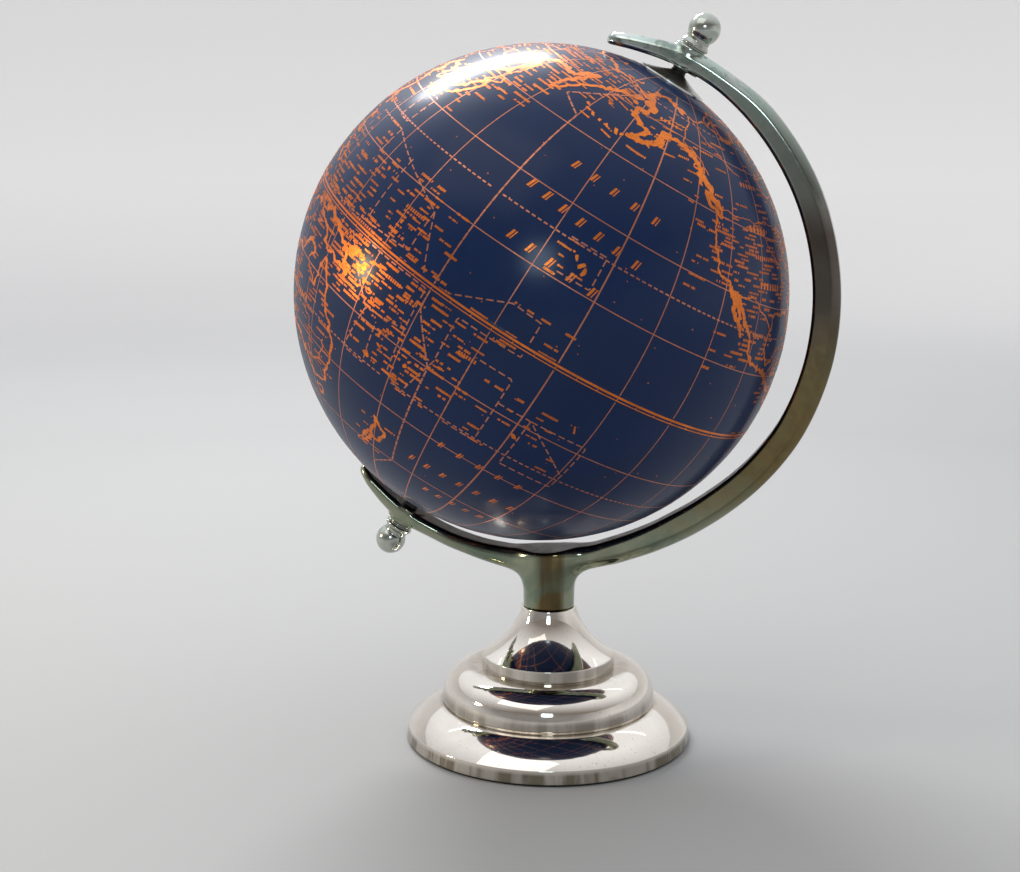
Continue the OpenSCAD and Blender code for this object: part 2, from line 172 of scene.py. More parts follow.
def make_piece(name, points, faces, weld=False):
    """Puts points and faces into a mesh whose faces look outwards, and adds it to the scene."""
    a, b, c, d = (points[faces[:, k]] for k in range(4))
    volume = np.sum(a * np.cross(b, c)) + np.sum(a * np.cross(c, d))
    if volume < 0:
        faces = faces[:, ::-1]
    mesh = bpy.data.meshes.new(name)
    mesh.from_pydata(points.tolist(), [], faces.tolist())
    if weld:
        merge_doubles(mesh, dissolve=True)
    mesh.validate()
    mesh.shade_smooth()
    piece = bpy.data.objects.new(name, mesh)
    bpy.context.scene.collection.objects.link(piece)
    return piece


def bow(start, end, rise, steps=24):
    """Points on a circle through two ends, whose middle stands to the left of their chord by the rise."""
    start, end = np.array(start, float), np.array(end, float)
    chord = np.linalg.norm(end - start)
    radius = (chord**2 / 4 + rise**2) / (2 * rise)
    left = np.array([start[1] - end[1], end[0] - start[0]]) / chord
    centre = (start + end) / 2 + left * (rise - radius)
    first = math.atan2(*(start - centre)[::-1])
    sweep = (math.atan2(*(end - centre)[::-1]) - first + math.pi) % (2 * math.pi) - math.pi
    turn = first + sweep * np.linspace(0, 1, steps + 1)
    return centre + abs(radius) * np.stack([np.cos(turn), np.sin(turn)], axis=1)


def eased(*stretches):
    """Closed outline made of stretches (points, corner radius). Each corner becomes a parabola between the
    two points a tangent's length away from it, with one more point beyond each to keep the sides flat."""
    lists = [np.atleast_2d(points) for points, _ in stretches]
    corners = np.concatenate(lists)
    radii = np.repeat([float(radius) for _, radius in stretches], [len(points) for points in lists])
    before, after = np.roll(corners, 1, 0) - corners, np.roll(corners, -1, 0) - corners
    long_before = np.maximum(np.linalg.norm(before, axis=1), 1e-9)
    long_after = np.maximum(np.linalg.norm(after, axis=1), 1e-9)
    before /= long_before[:, None]
    after /= long_after[:, None]
    half = 0.5 * np.arccos(np.clip((before * after).sum(1), -1, 0.999))
    shortest = np.minimum(long_before, long_after)
    reach = np.minimum(radii / np.tan(half), 0.42 * shortest)
    far = np.where(radii > 0, np.minimum(reach + SIDE_GUARD, 0.48 * shortest), 0.0)
    t = np.linspace(0, 1, CORNER_STEPS + 1)[None, :, None]
    first = (corners + before * reach[:, None])[:, None]
    last = (corners + after * reach[:, None])[:, None]
    curve = (1 - t) ** 2 * first + 2 * t * (1 - t) * corners[:, None] + t**2 * last
    ends = (corners + before * far[:, None])[:, None], (corners + after * far[:, None])[:, None]
    outline = np.concatenate([ends[0], curve, ends[1]], axis=1).reshape(-1, 2)
    return outline[np.linalg.norm(outline - np.roll(outline, 1, 0), axis=1) > 1e-6]


def on_stem(points):
    """Keeps turned points upright about the stem."""
    return points


def at_north(points):
    """Stands turned points on the axle, their Z being the distance north of the globe's centre."""
    return CENTRE + points @ AXLE.T


def at_south(points):
    """Stands turned points on the axle, their Z being the distance south of the globe's centre."""
    return CENTRE + (points * (1, -1, -1)) @ AXLE.T


def turned(name, outline, place, segments=160, closed=True):
    """Carries an outline of (radius, height) in mm round an axis: the point at angle t lies at
    (radius cos t, radius sin t, height). An outline that isn't closed starts and ends on the axis."""
    t = np.linspace(0, 2 * math.pi, segments, endpoint=False)[None, :]
    radius, height = outline[:, 0, None] * MM, outline[:, 1, None] * MM
    points = np.stack([radius * np.cos(t), radius * np.sin(t), height + 0 * t], axis=-1).reshape(-1, 3)
    faces = grid_faces(len(outline), segments, closed, True)
    return make_piece(name, place(points), faces, weld=not closed)


def on_globe(longitude, latitude):
    """Unit vectors of places on the globe: the globe's own axes turned to the prime meridian."""
    east, north = np.radians(longitude) + GREENWICH, np.radians(latitude)
    local = np.stack([np.cos(north) * np.cos(east), np.cos(north) * np.sin(east), np.sin(north)], axis=-1)
    return local @ AXLE.T


def printed(longitude, latitude):
    """Where the print puts a place: bell-shaped shifts, up to eight degrees east over the western Pacific,
    three west and two and a half south along North America, and three more south round Alaska."""
    longitude = (np.asarray(longitude, float) + 40) % 360 - 40
    latitude = np.asarray(latitude, float)
    asia = np.exp(-(((longitude - 152) / 34) ** 2))
    america = np.exp(-(((longitude - 230) / 30) ** 2)) * np.exp(-(((latitude - 45) / 28) ** 2))
    alaska = np.exp(-(((longitude - 200) / 18) ** 2) - ((latitude - 56) / 9) ** 2)
    return longitude + 8 * asia - 3 * america, latitude - 2.5 * america - 3.5 * alaska


def between(at, distance, track):
    """Points of a track at some distances along it."""
    return np.stack([np.interp(at, distance, column) for column in track.T], axis=1)


def evened(track, step, closed=False):
    """Points every "step" degrees along straight runs between (longitude, latitude) points."""
    track = np.asarray(track, float)
    if closed:
        track = np.concatenate([track, track[:1]])
    runs = np.diff(track, axis=0)
    runs[:, 0] = (runs[:, 0] + 180) % 360 - 180
    track = track[0] + np.concatenate([np.zeros((1, 2)), np.cumsum(runs, axis=0)])
    lengths = np.hypot(runs[:, 0] * np.cos(np.radians(track[:-1, 1])), runs[:, 1])
    distance = np.concatenate([[0], np.cumsum(lengths)])
    count = max(int(distance[-1] / step), 2)
    at = np.linspace(0, distance[-1], count + 1)
    return between(at, distance, track), at


def waves(rng, at, wave, closed):
    """Smooth random numbers along a line: one normal number every "wave", joined by half cosines."""
    count = max(int(at[-1] / wave), 2)
    knots = rng.standard_normal(count + 1)
    if closed:
        knots[-1] = knots[0]
    place = at / at[-1] * count
    low = np.minimum(place.astype(int), count - 1)
    blend = 0.5 - 0.5 * np.cos(math.pi * (place - low))
    return knots[low] * (1 - blend) + knots[low + 1] * blend


def strand(track, width_left, width_right, lift, closed=False):
    """Section of a foil strip carried along a line on the globe. Each point of the line is moved sideways
    by the strip's two half widths, along the cross product of the globe's radius and the line's way."""
    place = on_globe(track[:, 0], track[:, 1])
    if closed:
        place = place[:-1]
        ahead = np.roll(place, -1, 0) - np.roll(place, 1, 0)
        width_left, width_right = width_left[:-1], width_right[:-1]
    else:
        ahead = np.gradient(place, axis=0)
    side = np.cross(place, ahead)
    side /= np.maximum(np.linalg.norm(side, axis=1), 1e-12)[:, None]
    left = place + side * (width_left / GLOBE_R)[:, None]
    right = place - side * (width_right / GLOBE_R)[:, None]
    section = np.stack([left, left, right, right], axis=1)
    section /= np.linalg.norm(section, axis=2)[..., None]
    heights = np.array([-SUNK, lift, lift, -SUNK])
    points = section * (GLOBE_R + heights)[None, :, None]
    faces = grid_faces(len(place), 4, closed, True)
    if not closed:
        last = 4 * (len(place) - 1)
        faces = np.concatenate([faces, [[3, 2, 1, 0], [last, last + 1, last + 2, last + 3]]])
    return points.reshape(-1, 3), faces


def foil_piece(name, strands):
    """One mesh of many closed strips."""
    starts = np.cumsum([0] + [len(points) for points, _ in strands])
    points = np.concatenate([points for points, _ in strands])
    faces = np.concatenate([faces + start for (_, faces), start in zip(strands, starts)])
    piece = make_piece(name, CENTRE + points, faces)
    piece.data.shade_flat()
    return piece


def plain_line(track, width, lift, step=2.0, closed=False):
    """A strip of one width."""
    line, _ = evened(track, step, closed)
    half = np.full(len(line), width / 2)
    return strand(line, half, half, lift, closed)


def dashes(track, width, lift, dash, gap):
    """Strips of one length with gaps between them."""
    line, at = evened(track, 0.25)
    strips = []
    for start in np.arange(0, at[-1] - dash, dash + gap):
        part = np.array([start, start + dash / 2, start + dash])
        half = np.full(3, width / 2)
        strips.append(strand(between(part, at, line), half, half, lift))
    return strips


def ragged(rng, track, width, lift, closed):
    """A coast: the line wanders by waves of four lengths, and its two edges swell and thin by themselves,
    each by e to the power of a wave, so the foil frays."""
    line, at = evened(track, 0.22, closed)
    line = np.stack(printed(*line.T), axis=1)
    for wave, depth in WANDER:
        line[:, 0] += waves(rng, at, wave, closed) * depth / np.cos(np.radians(line[:, 1]))
        line[:, 1] += waves(rng, at, wave, closed) * depth
    halves = []
    for _ in range(2):
        swell = np.exp(0.45 * waves(rng, at, 6.0, closed) + 0.42 * waves(rng, at, 0.6, closed))
        halves.append(0.5 * width * np.clip(swell, 0.25, 2.6))
    return strand(line, halves[0], halves[1], lift, closed)


def blocks(longitude, latitude, wide, tall, slant, lift):
    """Small raised bars laid flat on the globe, each a box with its place, width, height and slant."""
    longitude, latitude = printed(longitude, latitude)
    up = on_globe(longitude, latitude)
    east = on_globe(longitude + 0.01, latitude) - up
    east /= np.linalg.norm(east, axis=1)[:, None]
    north = np.cross(up, east)
    corners = np.array([[-1, -1], [1, -1], [1, 1], [-1, 1]]) / 2
    x = corners[None, :, 0] * wide[:, None] + corners[None, :, 1] * slant[:, None] * tall[:, None]
    y = corners[None, :, 1] * tall[:, None]
    flat = up[:, None] * GLOBE_R + east[:, None] * x[..., None] + north[:, None] * y[..., None]
    flat /= np.linalg.norm(flat, axis=2)[..., None]
    points = np.concatenate([flat * (GLOBE_R - SUNK), flat * (GLOBE_R + lift)], axis=1).reshape(-1, 3)
    box = np.array([[3, 2, 1, 0], [4, 5, 6, 7], [0, 1, 5, 4], [1, 2, 6, 5], [2, 3, 7, 6], [3, 0, 4, 7]])
    faces = (np.arange(len(up))[:, None, None] * 8 + box[None]).reshape(-1, 4)
    return points, faces


# ---------------------------------------------------------------- Finishes


class Reading:
    """A socket of a finish. Arithmetic on it adds Math nodes."""

    def __init__(self, finish, socket):
        self.finish = finish
        self.socket = socket

    def __add__(self, other):
        return self.finish.math("ADD", self, other)

    def __sub__(self, other):
        return self.finish.math("SUBTRACT", self, other)

    def __rsub__(self, other):
        return self.finish.math("SUBTRACT", other, self)

    def __mul__(self, other):
        return self.finish.math("MULTIPLY", self, other)

    def __pow__(self, other):
        return self.finish.math("POWER", self, other)

    __radd__ = __add__
    __rmul__ = __mul__


class Finish:
    """A material with one main shader, and the nodes that vary its sockets."""

    def __init__(self, name, **fixed):
        self.material = bpy.data.materials.new(f"{name}_finish")
        self.material.use_nodes = True
        self.tree = self.material.node_tree
        self.shader = self.tree.nodes["Principled BSDF"]
        for socket, value in fixed.items():
            self.feed(socket.replace("_", " "), value)
        self.place = self.node("ShaderNodeTexCoord", {}, {}, "Object")

    def feed(self, socket, value):
        """Sets or links one socket of the main shader."""
        self.join(self.shader.inputs[socket], value)

    def join(self, socket, value):
        if isinstance(value, Reading):
            self.tree.links.new(value.socket, socket)
        elif hasattr(value, "__len__") and socket.type == "RGBA":
            socket.default_value = (*value[:3], 1.0)
        else:
            socket.default_value = value

    def node(self, kind, settings, sockets, output=0):
        """Adds a node: its settings first, then the values or links of its sockets."""
        node = self.tree.nodes.new(kind)
        for key, value in settings.items():
            if key == "stops":
                while len(node.color_ramp.elements) < len(value):
                    node.color_ramp.elements.new(0.5)
                for element, (at, level) in zip(node.color_ramp.elements, value):
                    element.position = at
                    element.color = (level, level, level, 1.0)
            else:
                setattr(node, key, value)
        for key, value in sockets.items():
            self.join(node.inputs[key], value)
        return Reading(self, node.outputs[output])

    def math(self, operation, *values):
        """A Math node on numbers or readings."""
        return self.node("ShaderNodeMath", {"operation": operation}, dict(enumerate(values)))

    def vector(self, operation, first, second, output=0):
        """A Vector Math node on places or directions."""
        sockets = {0: first} if second is None else {0: first, 1: second}
        return self.node("ShaderNodeVectorMath", {"operation": operation}, sockets, output)

    def noise(self, size, detail, rough, stretch=(1, 1, 1), warp=0.0):
        """Cloudy pattern from 0 to 1 whose patches are about "size" across."""
        settings = {"vector_type": "POINT"}
        place = self.node("ShaderNodeMapping", settings, {"Vector": self.place, "Scale": stretch})
        sockets = {
            "Vector": place, "Scale": 1 / size, "Detail": detail, "Roughness": rough, "Distortion": warp
        }
        return self.node("ShaderNodeTexNoise", {"noise_dimensions": "3D"}, sockets)

    def ramp(self, value, *stops):
        """Grey level read off straight runs between (place, level) stops."""
        return self.node("ShaderNodeValToRGB", {"stops": stops}, {"Fac": value})

    def mix(self, mask, first, second):
        """Colour between two colours."""
        return self.node("ShaderNodeMix", {"data_type": "RGBA"}, {0: mask, 6: first, 7: second}, 2)

    def bump(self, height, distance, strength=1.0):
        """Raises the surface by the height times the distance."""
        sockets = {"Height": height, "Distance": distance, "Strength": strength}
        self.feed("Normal", self.node("ShaderNodeBump", {}, sockets))

    def along(self, direction, origin=(0.0, 0.0, 0.0)):
        """Distance of a point from an origin along a direction."""
        moved = self.vector("SUBTRACT", self.place, tuple(origin))
        return self.vector("DOT_PRODUCT", moved, tuple(direction), "Value")

    def off_axis(self, first, second, origin=(0.0, 0.0, 0.0)):
        """Distance from the axis through an origin that stands on two directions: a root of two squares."""
        x, y = self.along(first, origin), self.along(second, origin)
        return (x * x + y * y) ** 0.5


def shade(value, factor):
    """A colour made lighter or darker."""
    return tuple(min(1.0, channel * factor) for channel in value)


def finish_map(name, colours):
    """Lacquered sea: mottled deep blue under a clear coat, with paper seams every thirty degrees."""
    f = Finish(name, Roughness=0.5, Specular_IOR_Level=0.08, Coat_Weight=0.36, Coat_Roughness=0.20)
    cloud = f.ramp(f.noise(0.035, 4.0, 0.6), (0.3, 0.0), (0.7, 1.0))
    fine = f.noise(0.0011, 3.0, 0.6)
    sea = f.mix(cloud, shade(colours.navy, 0.86), shade(colours.navy, 1.14))
    f.feed("Base Color", f.mix(fine * 0.35, sea, shade(colours.navy, 1.7)))
    x, y = f.along(AXLE[:, 0], CENTRE), f.along(AXLE[:, 1], CENTRE)
    gores = 6 / math.pi  # twelve gores round the ball
    turn = f.math("ARCTAN2", y, x) * gores + (12.5 - gores * GREENWICH)
    seam = f.ramp(f.math("ABSOLUTE", f.math("FRACT", turn) - 0.5), (0.0, 0.0), (0.006, 1.0))
    height = seam * 0.6 + f.noise(0.0030, 2.0, 0.5) * 0.10 + f.noise(0.022, 2.0, 0.5) * 0.9
    f.bump(height, 0.00012, 0.55)
    return f.material


def finish_foil(name, tone, rough):
    """Stamped foil: warm metal, blotched where it took unevenly, with a fine crackle."""
    f = Finish(name, Metallic=1.0)
    worn = f.ramp(f.noise(0.009, 4.0, 0.6), (0.32, 0.0), (0.66, 1.0))
    speck = f.ramp(f.noise(0.0009, 2.0, 0.5), (0.35, 0.0), (0.6, 1.0))
    base = f.mix(worn, shade(tone, 0.66), tone)
    f.feed("Base Color", f.mix(speck * 0.45, base, shade(tone, 0.55)))
    f.feed("Roughness", rough + 0.12 * speck - 0.06 * worn)
    f.bump(f.noise(0.0007, 3.0, 0.6), 0.00006, 0.5)
    return f.material


REFLECTION_BAND_LEVELS = (  # height in twentieths of a metre, strength of the painted reflection: the upright bands of flange, dome and cone
    (0.0, 1.0), (0.09, 1.0), (0.12, 0.0), (0.31, 0.0), (0.325, 0.7), (0.39, 0.7), (0.46, 0.0),
    (0.625, 0.0), (0.64, 0.6), (0.72, 0.6), (0.745, 0.0),
)


def finish_base(name, colours):
    """Spun and polished plate: bright, faintly warm, with a haze of wiping marks and spinning rings, and a
    painted reflection of darker brown-grey upright stripes on the upright bands of its three tiers."""
    f = Finish(name, Metallic=1.0)
    haze = f.ramp(f.noise(0.018, 4.0, 0.62, (1, 1, 0.5), 0.6), (0.35, 0.0), (0.75, 1.0))
    tint = f.mix(haze, colours.base_metal, shade(colours.base_metal, 0.90))
    pit = f.ramp(f.noise(0.0011, 1.0, 0.4), (0.70, 0.0), (0.76, 1.0))
    # Painted reflection: darker brown-grey upright stripes laid on the upright bands of the three tiers.
    bands = f.ramp(f.along((0, 0, 1)) * 20.0, *REFLECTION_BAND_LEVELS)
    reflection_stripe = f.ramp(f.noise(0.010, 3.0, 0.6, (1, 1, 0.05), 0.5), (0.42, 0.0), (0.56, 1.0))
    dull = f.mix(reflection_stripe, (0.46, 0.42, 0.36), (0.27, 0.235, 0.18))
    tint = f.mix(bands * (0.62 + 0.38 * reflection_stripe), tint, dull)
    f.feed("Base Color", f.mix(pit * 0.35, tint, shade(colours.base_metal, 0.45)))
    f.feed("Roughness", 0.035 + 0.055 * haze + 0.15 * pit)
    lathe = f.math("SINE", f.off_axis((1, 0, 0), (0, 1, 0)) * 9000.0) * 0.5
    f.bump(lathe * 0.02 + f.noise(0.014, 2.0, 0.5) * 1.5, 0.00010, 0.35)
    return f.material


def finish_arm(name, colours):
    """Cast plate, its tones laid by height: olive brown below, a dark band at middle height, grey-green
    towards the top and nearly white towards its upper end, with green patches and dark blots. Painted
    reflections:
    a brown band with dark upright streaks down the middle of the stem, grey-green beside it and along the
    left arm, and near black faces that look towards the globe. Each tone is laid over the last through a
    mask read off the height, a noise, the side or the normal."""
    f = Finish(name, Metallic=1.0)
    drift = f.noise(0.045, 2.0, 0.5, (1, 1, 1), 0.4) * 0.24 - 0.12
    height = f.along((0, 0, 1)) * (1 / 0.30) + drift
    small = f.ramp(f.noise(0.0065, 4.0, 0.6, (1, 1, 1), 1.0), (0.40, 0.0), (0.62, 1.0))
    patch = f.ramp(f.noise(0.020, 3.0, 0.55, (1, 1, 1), 0.8), (0.44, 0.0), (0.60, 1.0))
    blot = f.ramp(f.noise(0.009, 3.0, 0.6, (1, 1, 1), 1.2), (0.52, 0.0), (0.62, 1.0))
    # Upright streaks for the painted reflection on the stem.
    reflection_streak = f.ramp(f.noise(0.0055, 2.0, 0.45, (1, 1, 0.10)), (0.42, 0.0), (0.60, 1.0))
    upper = f.ramp(height, (0.54, 0.0), (0.64, 1.0))
    pale = f.ramp(height, (0.72, 0.0), (0.90, 0.55), (1.0, 1.0))
    top = f.ramp(height, (0.80, 0.0), (0.96, 1.0))
    foot = f.ramp(height, (0.30, 1.0), (0.42, 0.0))
    # Mask of the painted reflection: a band about ten millimetres wide through the stem's axis.
    across = f.along((0.972, 0.233, 0))
    reflection_band_sides = f.ramp(f.math("ABSOLUTE", across) * 100.0, (0.42, 0.0), (0.66, 1.0))
    left = f.ramp(f.along((-1, 0, 0)) * 20.0, (0.10, 0.0), (0.50, 1.0)) * (1 - pale)
    tail = f.ramp(f.along((-1, 0, 0.25)) * 4.0, (0.12, 0.0), (0.20, 1.0)) * pale

    olive = f.mix(small * 0.5, colours.arm_dark, shade(colours.arm_dark, 0.72))
    # Tones laid by height: olive brown below, a dark band at middle height, grey-green towards the top.
    tone = f.mix(pale, f.mix(upper, olive, (0.105, 0.088, 0.074)), colours.arm_light)
    # Painted reflection: grey-green on the low part and the left arm, except a brown band down the stem's
    # middle.
    tone = f.mix(f.math("MAXIMUM", foot, left) * reflection_band_sides * 0.75, tone, (0.34, 0.385, 0.29))
    green = f.mix(pale, (0.15, 0.21, 0.155), (0.42, 0.62, 0.54))
    tone = f.mix(patch * (0.10 + 0.65 * foot + 0.45 * pale), tone, green)
    tone = f.mix(tail, tone, (0.80, 0.86, 0.83))
    tone = f.mix(blot * 0.85 * top, tone, (0.24, 0.30, 0.26))
    # Painted reflection: dark brown upright streaks inside the stem's brown band.
    tone = f.mix(reflection_streak * foot * (1 - reflection_band_sides) * 0.60, tone, (0.070, 0.045, 0.022))

    # Painted reflection: faces that look towards the globe's centre are painted near black, as the globe's
    # dark underside mirrored in them.
    inwards = f.vector("NORMALIZE", f.vector("SUBTRACT", tuple(CENTRE), f.place), None)
    normal = f.node("ShaderNodeNewGeometry", {}, {}, "Normal")
    inner = f.ramp(f.vector("DOT_PRODUCT", inwards, normal, "Value"), (0.55, 0.0), (0.80, 1.0))
    f.feed("Base Color", f.mix(inner, tone, (0.045, 0.036, 0.026)))
    f.feed("Roughness", 0.10 + 0.07 * small + 0.22 * inner)
    f.bump(f.noise(0.014, 2.0, 0.45) + f.noise(0.0012, 2.0, 0.5) * 0.03, 0.00020, 0.30)
    return f.material


def finish_plate(name, tone, rough, cloud_size=0.006):
    """Plated small parts: cloudy polish with tiny marks."""
    f = Finish(name, Metallic=1.0)
    cloud = f.ramp(f.noise(cloud_size, 3.0, 0.6), (0.35, 0.0), (0.68, 1.0))
    f.feed("Base Color", f.mix(cloud, shade(tone, 0.80), tone))
    f.feed("Roughness", rough + 0.09 * (1 - cloud))
    f.bump(f.noise(0.0012, 2.0, 0.5), 0.00004, 0.4)
    return f.material


def finish_cap(name, colours):
    """Pressed cap: dark grey-green plate with rings left by the spinning tool and a light band painted
    round its rim.
    """
    f = Finish(name, Metallic=1.0)
    cloud = f.ramp(f.noise(0.008, 3.0, 0.6, (1, 1, 1), 0.6), (0.36, 0.0), (0.66, 1.0))
    # A light band painted round the rim's edge.
    rim = f.ramp(f.off_axis(AXLE[:, 0], EAST, CENTRE) * 50.0, (0.692, 0.0), (0.704, 1.0))
    tone = f.mix(cloud, shade(colours.cap_metal, 0.72), colours.cap_metal)
    f.feed("Base Color", f.mix(rim, tone, (0.86, 0.87, 0.82)))
    f.feed("Roughness", 0.24 + 0.10 * cloud)
    rings = f.math("SINE", f.along(NORTH, CENTRE) * 9500.0)
    f.bump(rings * 0.5 + f.noise(0.003, 2.0, 0.5), 0.00005, 0.5)
    return f.material


def finish_solid(name, tone, rough, grain, depth, fleck=0.8):
    """Plastic, nylon, iron or felt: a tone flecked at the size of its grain, raised by the same grain."""
    f = Finish(name)
    grit = f.noise(grain, 4.0, 0.65)
    cloud = f.noise(grain * 14, 3.0, 0.55)
    flecks = f.ramp(grit * 0.6 + cloud * 0.4, (0.35, 0.0), (0.65, 1.0))
    f.feed("Base Color", f.mix(flecks, shade(tone, fleck), tone))
    f.feed("Roughness", rough + 0.12 * cloud)
    f.bump(grit, depth, 0.6)
    return f.material


def finish_board(name, bare, worn):
    """Wound paper tube: brown board with the edge of its strip running round it."""
    f = Finish(name, Roughness=0.8)
    x, y = f.along(AXLE[:, 0], CENTRE), f.along(AXLE[:, 1], CENTRE)
    wind = f.along(NORTH, CENTRE) * 30.0 + f.math("ARCTAN2", y, x) * (0.5 / math.pi)
    edge = f.ramp(f.math("FRACT", wind), (0.0, 0.0), (0.03, 1.0), (0.97, 1.0), (1.0, 0.0))
    fibre = f.noise(0.0012, 4.0, 0.6)
    f.feed("Base Color", f.mix(edge * 0.7 + fibre * 0.3, bare, worn))
    f.bump(edge + fibre * 0.3, 0.0001, 0.5)
    return f.material


def settle(piece, finish, body, slot, *nodes):
    """Gives a piece its finish, the body it moves with and the nodes it stands for; its slot is not used.
    """
    piece.data.materials.clear()
    piece.data.materials.append(finish)
    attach(piece, body)
    if nodes:
        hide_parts(*nodes)


def finished(build, name, *values):
    """The finish of that name, built the first time it is asked for."""
    return bpy.data.materials.get(f"{name}_finish") or build(name, *values)


def copper(colours):
    """The foil of the coasts and names."""
    return finished(finish_foil, "copper_foil", colours.foil, 0.34)


# ---------------------------------------------------------------- Stand


class PieceOperator:
    """What every operator here shares: its panel button can be undone."""

    bl_options = {"REGISTER", "UNDO"}


SHEET = 2.4             # thickness of the tiers' metal
BOLT_HOLE_R = 4.4
FLANGE_BAND = 5.4       # height of each tier's upright band
DOME_BAND = 1.4
CONE_BAND = 5.1
CONE_TOP_R = 11.7
SHOULDER = 15.5         # how far in the dome's round shoulder reaches
SHOULDER_POWER = 2 / 2.4  # its squareness: an ellipse has 1


class DESKGLOBE_OT_base(PieceOperator, bpy.types.Operator):
    """Builds the base's three spun tiers"""

    bl_idname = "deskglobe.base"
    bl_label = "Base"

    def execute(self, context):
        metal = finished(finish_base, "base_nickel", context.scene.globe_colours)

        def tier(name, outline, segments, node):
            settle(turned(name, outline, on_stem, segments), metal, "stand", "base_nickel", node)

        crease, land = (BASE_R - 0.8, FELT_TOP + FLANGE_BAND), (DOME_R + 0.3, FLANGE_TOP)
        slope = bow(crease, land, -1.3)
        tier("flange_spun", eased(
            ((BASE_R, FELT_TOP), 0.35), (slope[:1], 0.55), (slope[1:-1], 0), (slope[-1:], 0.3),
            ((BOLT_HOLE_R, FLANGE_TOP), 0), ((BOLT_HOLE_R, FLANGE_TOP - SHEET), 0),
            (slope[::-1] - SHEET, 0), ((BASE_R - SHEET, FELT_TOP), 0),
        ), 240, "base_flange")

        side_z = FLANGE_TOP + DOME_BAND
        t = np.radians(np.linspace(0, 90, 31))
        shoulder = np.stack([
            DOME_R - SHOULDER + SHOULDER * np.cos(t).clip(0) ** SHOULDER_POWER,
            side_z + (DOME_TOP - side_z) * np.sin(t) ** SHOULDER_POWER,
        ], axis=1)
        hollow = np.stack([shoulder[:, 0] - SHEET, side_z + (shoulder[:, 1] - side_z) * 0.83], axis=1)
        foot_r = DOME_R - 0.6
        tier("dome_spun", eased(
            ((foot_r, FLANGE_TOP), 0.25), (shoulder[:1], 0.5), (shoulder[1:], 0),
            ((BOLT_HOLE_R, DOME_TOP), 0), ((BOLT_HOLE_R, DOME_TOP - SHEET), 0), (hollow[::-1], 0),
            ((foot_r - SHEET, FLANGE_TOP), 0),
        ), 240, "base_dome")

        slope = bow((BAND_R - 0.3, DOME_TOP + CONE_BAND), (CONE_TOP_R, BASE_TOP), 2.8, 32)
        tier("cone_spun", eased(
            ((BAND_R, DOME_TOP), 0.3), (slope[:1], 0.42), (slope[1:-1], 0), (slope[-1:], 0.4),
            ((BOLT_HOLE_R, BASE_TOP), 0), ((BOLT_HOLE_R, BASE_TOP - SHEET), 0),
            (slope[::-1] - (SHEET, SHEET * 0.7), 0), ((BAND_R - SHEET, DOME_TOP), 0),
        ), 200, "base_cone")
        return {"FINISHED"}


ARM_STATIONS = (  # angle from straight down towards +X, gap to the globe, thickness
    (-46, 5.2, 3.2), (-39.5, 5.9, 5.8), (-31.5, 6.8, 7.6), (-23.5, 7, 6.7), (-14, 6.8, 7.8), (-6, 6.1, 10),
    (2.5, 6.2, 11), (10, 5.2, 10.8), (20, 4, 11.4), (32, 3.7, 12.3), (42, 4.8, 12.4), (52, 6.8, 12),
    (63, 8.6, 11.8), (78, 9.2, 11.7), (92, 9.2, 11.4), (112, 8.6, 11.2), (130.5, 7.6, 10.6),
    (139.5, 7, 8.6), (148.5, 5.4, 9), (156.5, 3.7, 7), (165.5, 2.5, 5),
)
ARM_HALF_W = 7.0        # half the arm's width
PADDLE_HALF_W = 7.45    # half the width of its flattened ends
PADDLE_ANGLES = (-25.5, 142.5)  # past these the arm is a flattened end
TIP_REACH, TIP_LOSS = 9.0, 3.6  # how far before its ends the arm narrows, and by how much on each side
JUNCTION_ANGLE = 30     # reach of the softer edges and waves round the stem, in degrees
EDGE_POWER = 1.35       # roundness of the arm's edges: 2 is a circle, 1 a flat bevel
SEATS = ((107.0, 116.0), (108.4, 116.0))  # inner and outer seat along the axle, north then south
SEAT_R = 7.2
ROD_HOLE_R = 2.1
STEM_FOOT_R = 10.8
STEM_TOP_R = 11.4
STEM_WIDEST = 11.7
SADDLE_GAP = 6.2        # gap between the globe and the arm over the stem
BORE_R = 3.88
BORE_TOP = BASE_TOP + 22
SLOPE_STEP = 0.02       # step of the field's measured slope
SLOPE_REACH = 0.8       # farthest that one step moves a point


def soft_max(a, b, reach):
    """Greater of two distances, with the edge between them eased over the reach."""
    h = np.clip(0.5 + 0.5 * (a - b) / reach, 0, 1)
    return b * (1 - h) + a * h + reach * h * (1 - h)


def soft_min(a, b, reach):
    """Lesser of two distances, with the hollow between them filled over the reach."""
    return -soft_max(-a, -b, reach)


def arm_lines():
    """Angle, gap, thickness and half width along the arm, eased by a bell curve two degrees wide."""
    angles, gaps, thicknesses = np.array(ARM_STATIONS, float).T
    fine = np.linspace(-60, 180, 961)
    bell = np.exp(-0.5 * (np.arange(-24, 25) * 0.25 / 2.0) ** 2)
    bell /= bell.sum()
    paddle = (fine < PADDLE_ANGLES[0]) | (fine > PADDLE_ANGLES[1])
    wide = ARM_HALF_W + (PADDLE_HALF_W - ARM_HALF_W) * paddle
    rows = [np.interp(fine, angles, gaps), np.interp(fine, angles, thicknesses), wide]
    eased_rows = [np.convolve(np.pad(row, 24, "edge"), bell, "valid") for row in rows]
    return fine, eased_rows


